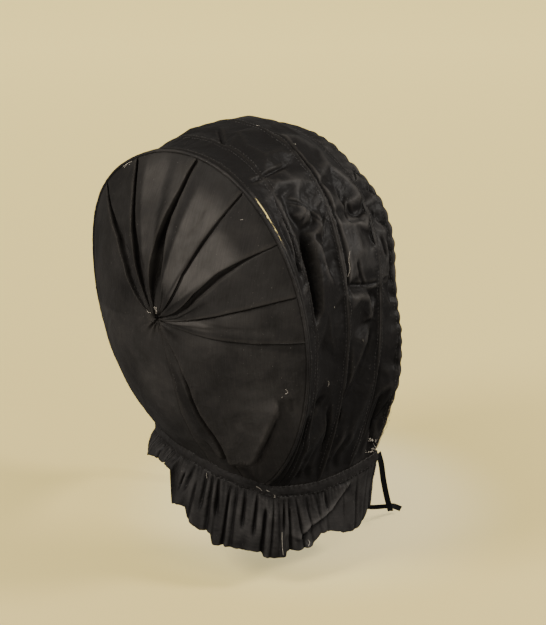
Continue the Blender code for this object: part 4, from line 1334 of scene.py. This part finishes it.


# Loose pale threads and lint, and pale flecks that are painted highlights, each a line of places on a
# surface: (surface, [(across, down, raised), ...]).
loosePaleAndGlints = [
    # painted highlights: the first three, pale flecks on the right side of the hood between hoops 2 and 4,
    # stand where there are only small highlights
    (onHood, [(2.15, 0.492, 0.3), (2.13, 0.515, 0.5), (2.12, 0.535, 0.4), (2.10, 0.554, 0.3)]),
    (onHood, [(1.50, 0.752, 0.3), (1.53, 0.757, 0.6), (1.51, 0.763, 0.4)]),
    (onHood, [(2.40, 0.720, 0.3), (2.42, 0.723, 0.4)]),
    (onHood, [(1.65, 0.594, 0.3), (1.66, 0.598, 0.4)]), (onHood, [(2.0, -0.107, 0.3), (2.02, -0.103, 0.5)]),
    (onHood, [(2.0, 0.008, 0.3), (2.03, 0.011, 0.5)]), (onHood, [(2.17, 0.145, 0.3), (2.19, 0.150, 0.4)]),
    (onBack, [(34, 0.90, 0.3), (34.6, 0.905, 0.5)]), (onBack, [(110, 0.87, 0.3), (110.4, 0.872, 0.5)]),
    (onBack, [(115, 0.9, 0.3), (116, 0.905, 0.5), (117.2, 0.9, 0.4)]),
    (onBack, [(119, 0.88, 0.3), (119.3, 0.884, 0.4)]),
    (onBack, [(-36, 0.985, 0.6), (-33, 0.99, 0.9), (-30, 0.985, 0.6)]),
    (onBack, [(-35, 0.975, 0.5), (-32, 0.982, 0.7), (-30.5, 0.975, 0.5)]),
    (onBack, [(20, 0.045, 1.0), (10, 0.06, 1.6), (2, 0.07, 1.5), (12, 0.08, 1.0)]),
    (onBack, [(24, 0.045, 1.0), (12, 0.055, 1.9), (6, 0.075, 1.5)]),
    (onBack, [(-40, 0.05, 1.0), (-55, 0.065, 1.5), (-52, 0.08, 1.2)]),
    (onRuffle, [(13.93, 14, 0.5), (13.9, 20, 1.2), (13.96, 27, 1.0), (13.9, 33, 0.8), (13.95, 38, 1.0)]),
    (onRuffle, [(13.85, 13, 0.5), (13.96, 17, 1.0), (13.9, 23, 1.3), (13.95, 29, 0.6)]),
    (onRuffle, [(7.47, 13.5, 0.5), (7.46, 16, 0.8), (7.49, 18.5, 0.6)]),
    (onRuffle, [(9.62, 46, 0.5), (9.6, 54, 0.7), (9.58, 62, 0.6), (9.6, 69, 0.5)]),
    (onRuffle, [(10.56, 56, 0.5), (10.58, 60, 0.7), (10.54, 63, 0.5)]),
    (onBand, [(8.7, 4, 0.3), (8.8, 5, 0.6), (8.85, 7, 0.4)]), (onBand, [(9.0, 5, 0.3), (9.1, 6, 0.5)]),
    (onBand, [(9.3, 8, 0.3), (9.36, 9.5, 0.5), (9.3, 10.5, 0.4)]),
]


def looseThreadsAndGlints():
    rng = np.random.default_rng(701)
    lines = []
    for place, spots in loosePaleAndGlints:
        points = np.array([place(*spot) for spot in spots])
        lines.append(through(points, np.linspace(0, len(points) - 1, 6 * (len(points) - 1) + 1)))
    # a tangle of ends at the right front corner
    for _ in range(16):
        start = onHood(rng.uniform(3.55, 3.97), rng.uniform(0.95, 0.992), 0.6)
        steps = np.cumsum(rng.normal(0, 1.1, (5, 3)) * (1, 1, 0.8), axis=0)
        points = np.vstack([start, start + steps + (-0.8, 0, 0)])
        lines.append(through(points, np.linspace(0, 5, 26)))
    return lines


# The last of a fine net lining, caught along the right front edge.
def netRemnant():
    rng = np.random.default_rng(711)
    edge = np.array([onHood(3.96, side, 0.2) for side in np.linspace(0.87, 0.985, 16)])
    lines = []
    for k, point in enumerate(edge):
        reach = rng.uniform(2.0, 6.5) * math.sin(math.pi * (k + 1) / 17)
        tip = point + np.array([-0.55, -0.8, 0.0]) * reach + rng.normal(0, 0.4, 3)
        lines.append(np.linspace(point, tip, 6) + rng.normal(0, 0.12, (6, 3)))
    for share in (0.35, 0.7, 1.0):
        lines.append(np.array([line[min(int(round(5 * share)), 5)] for line in lines[:16]]))
    return lines


threadsFrom("stitches", casingStitches(), sewing["radius"], "stitch", 4)
threadsFrom("loose_threads_and_glints", looseThreadsAndGlints(), sewing["loose"], "thread", 5)
threadsFrom("net_remnant", netRemnant(), 0.09, "net", 4)
print("stitches and threads made")
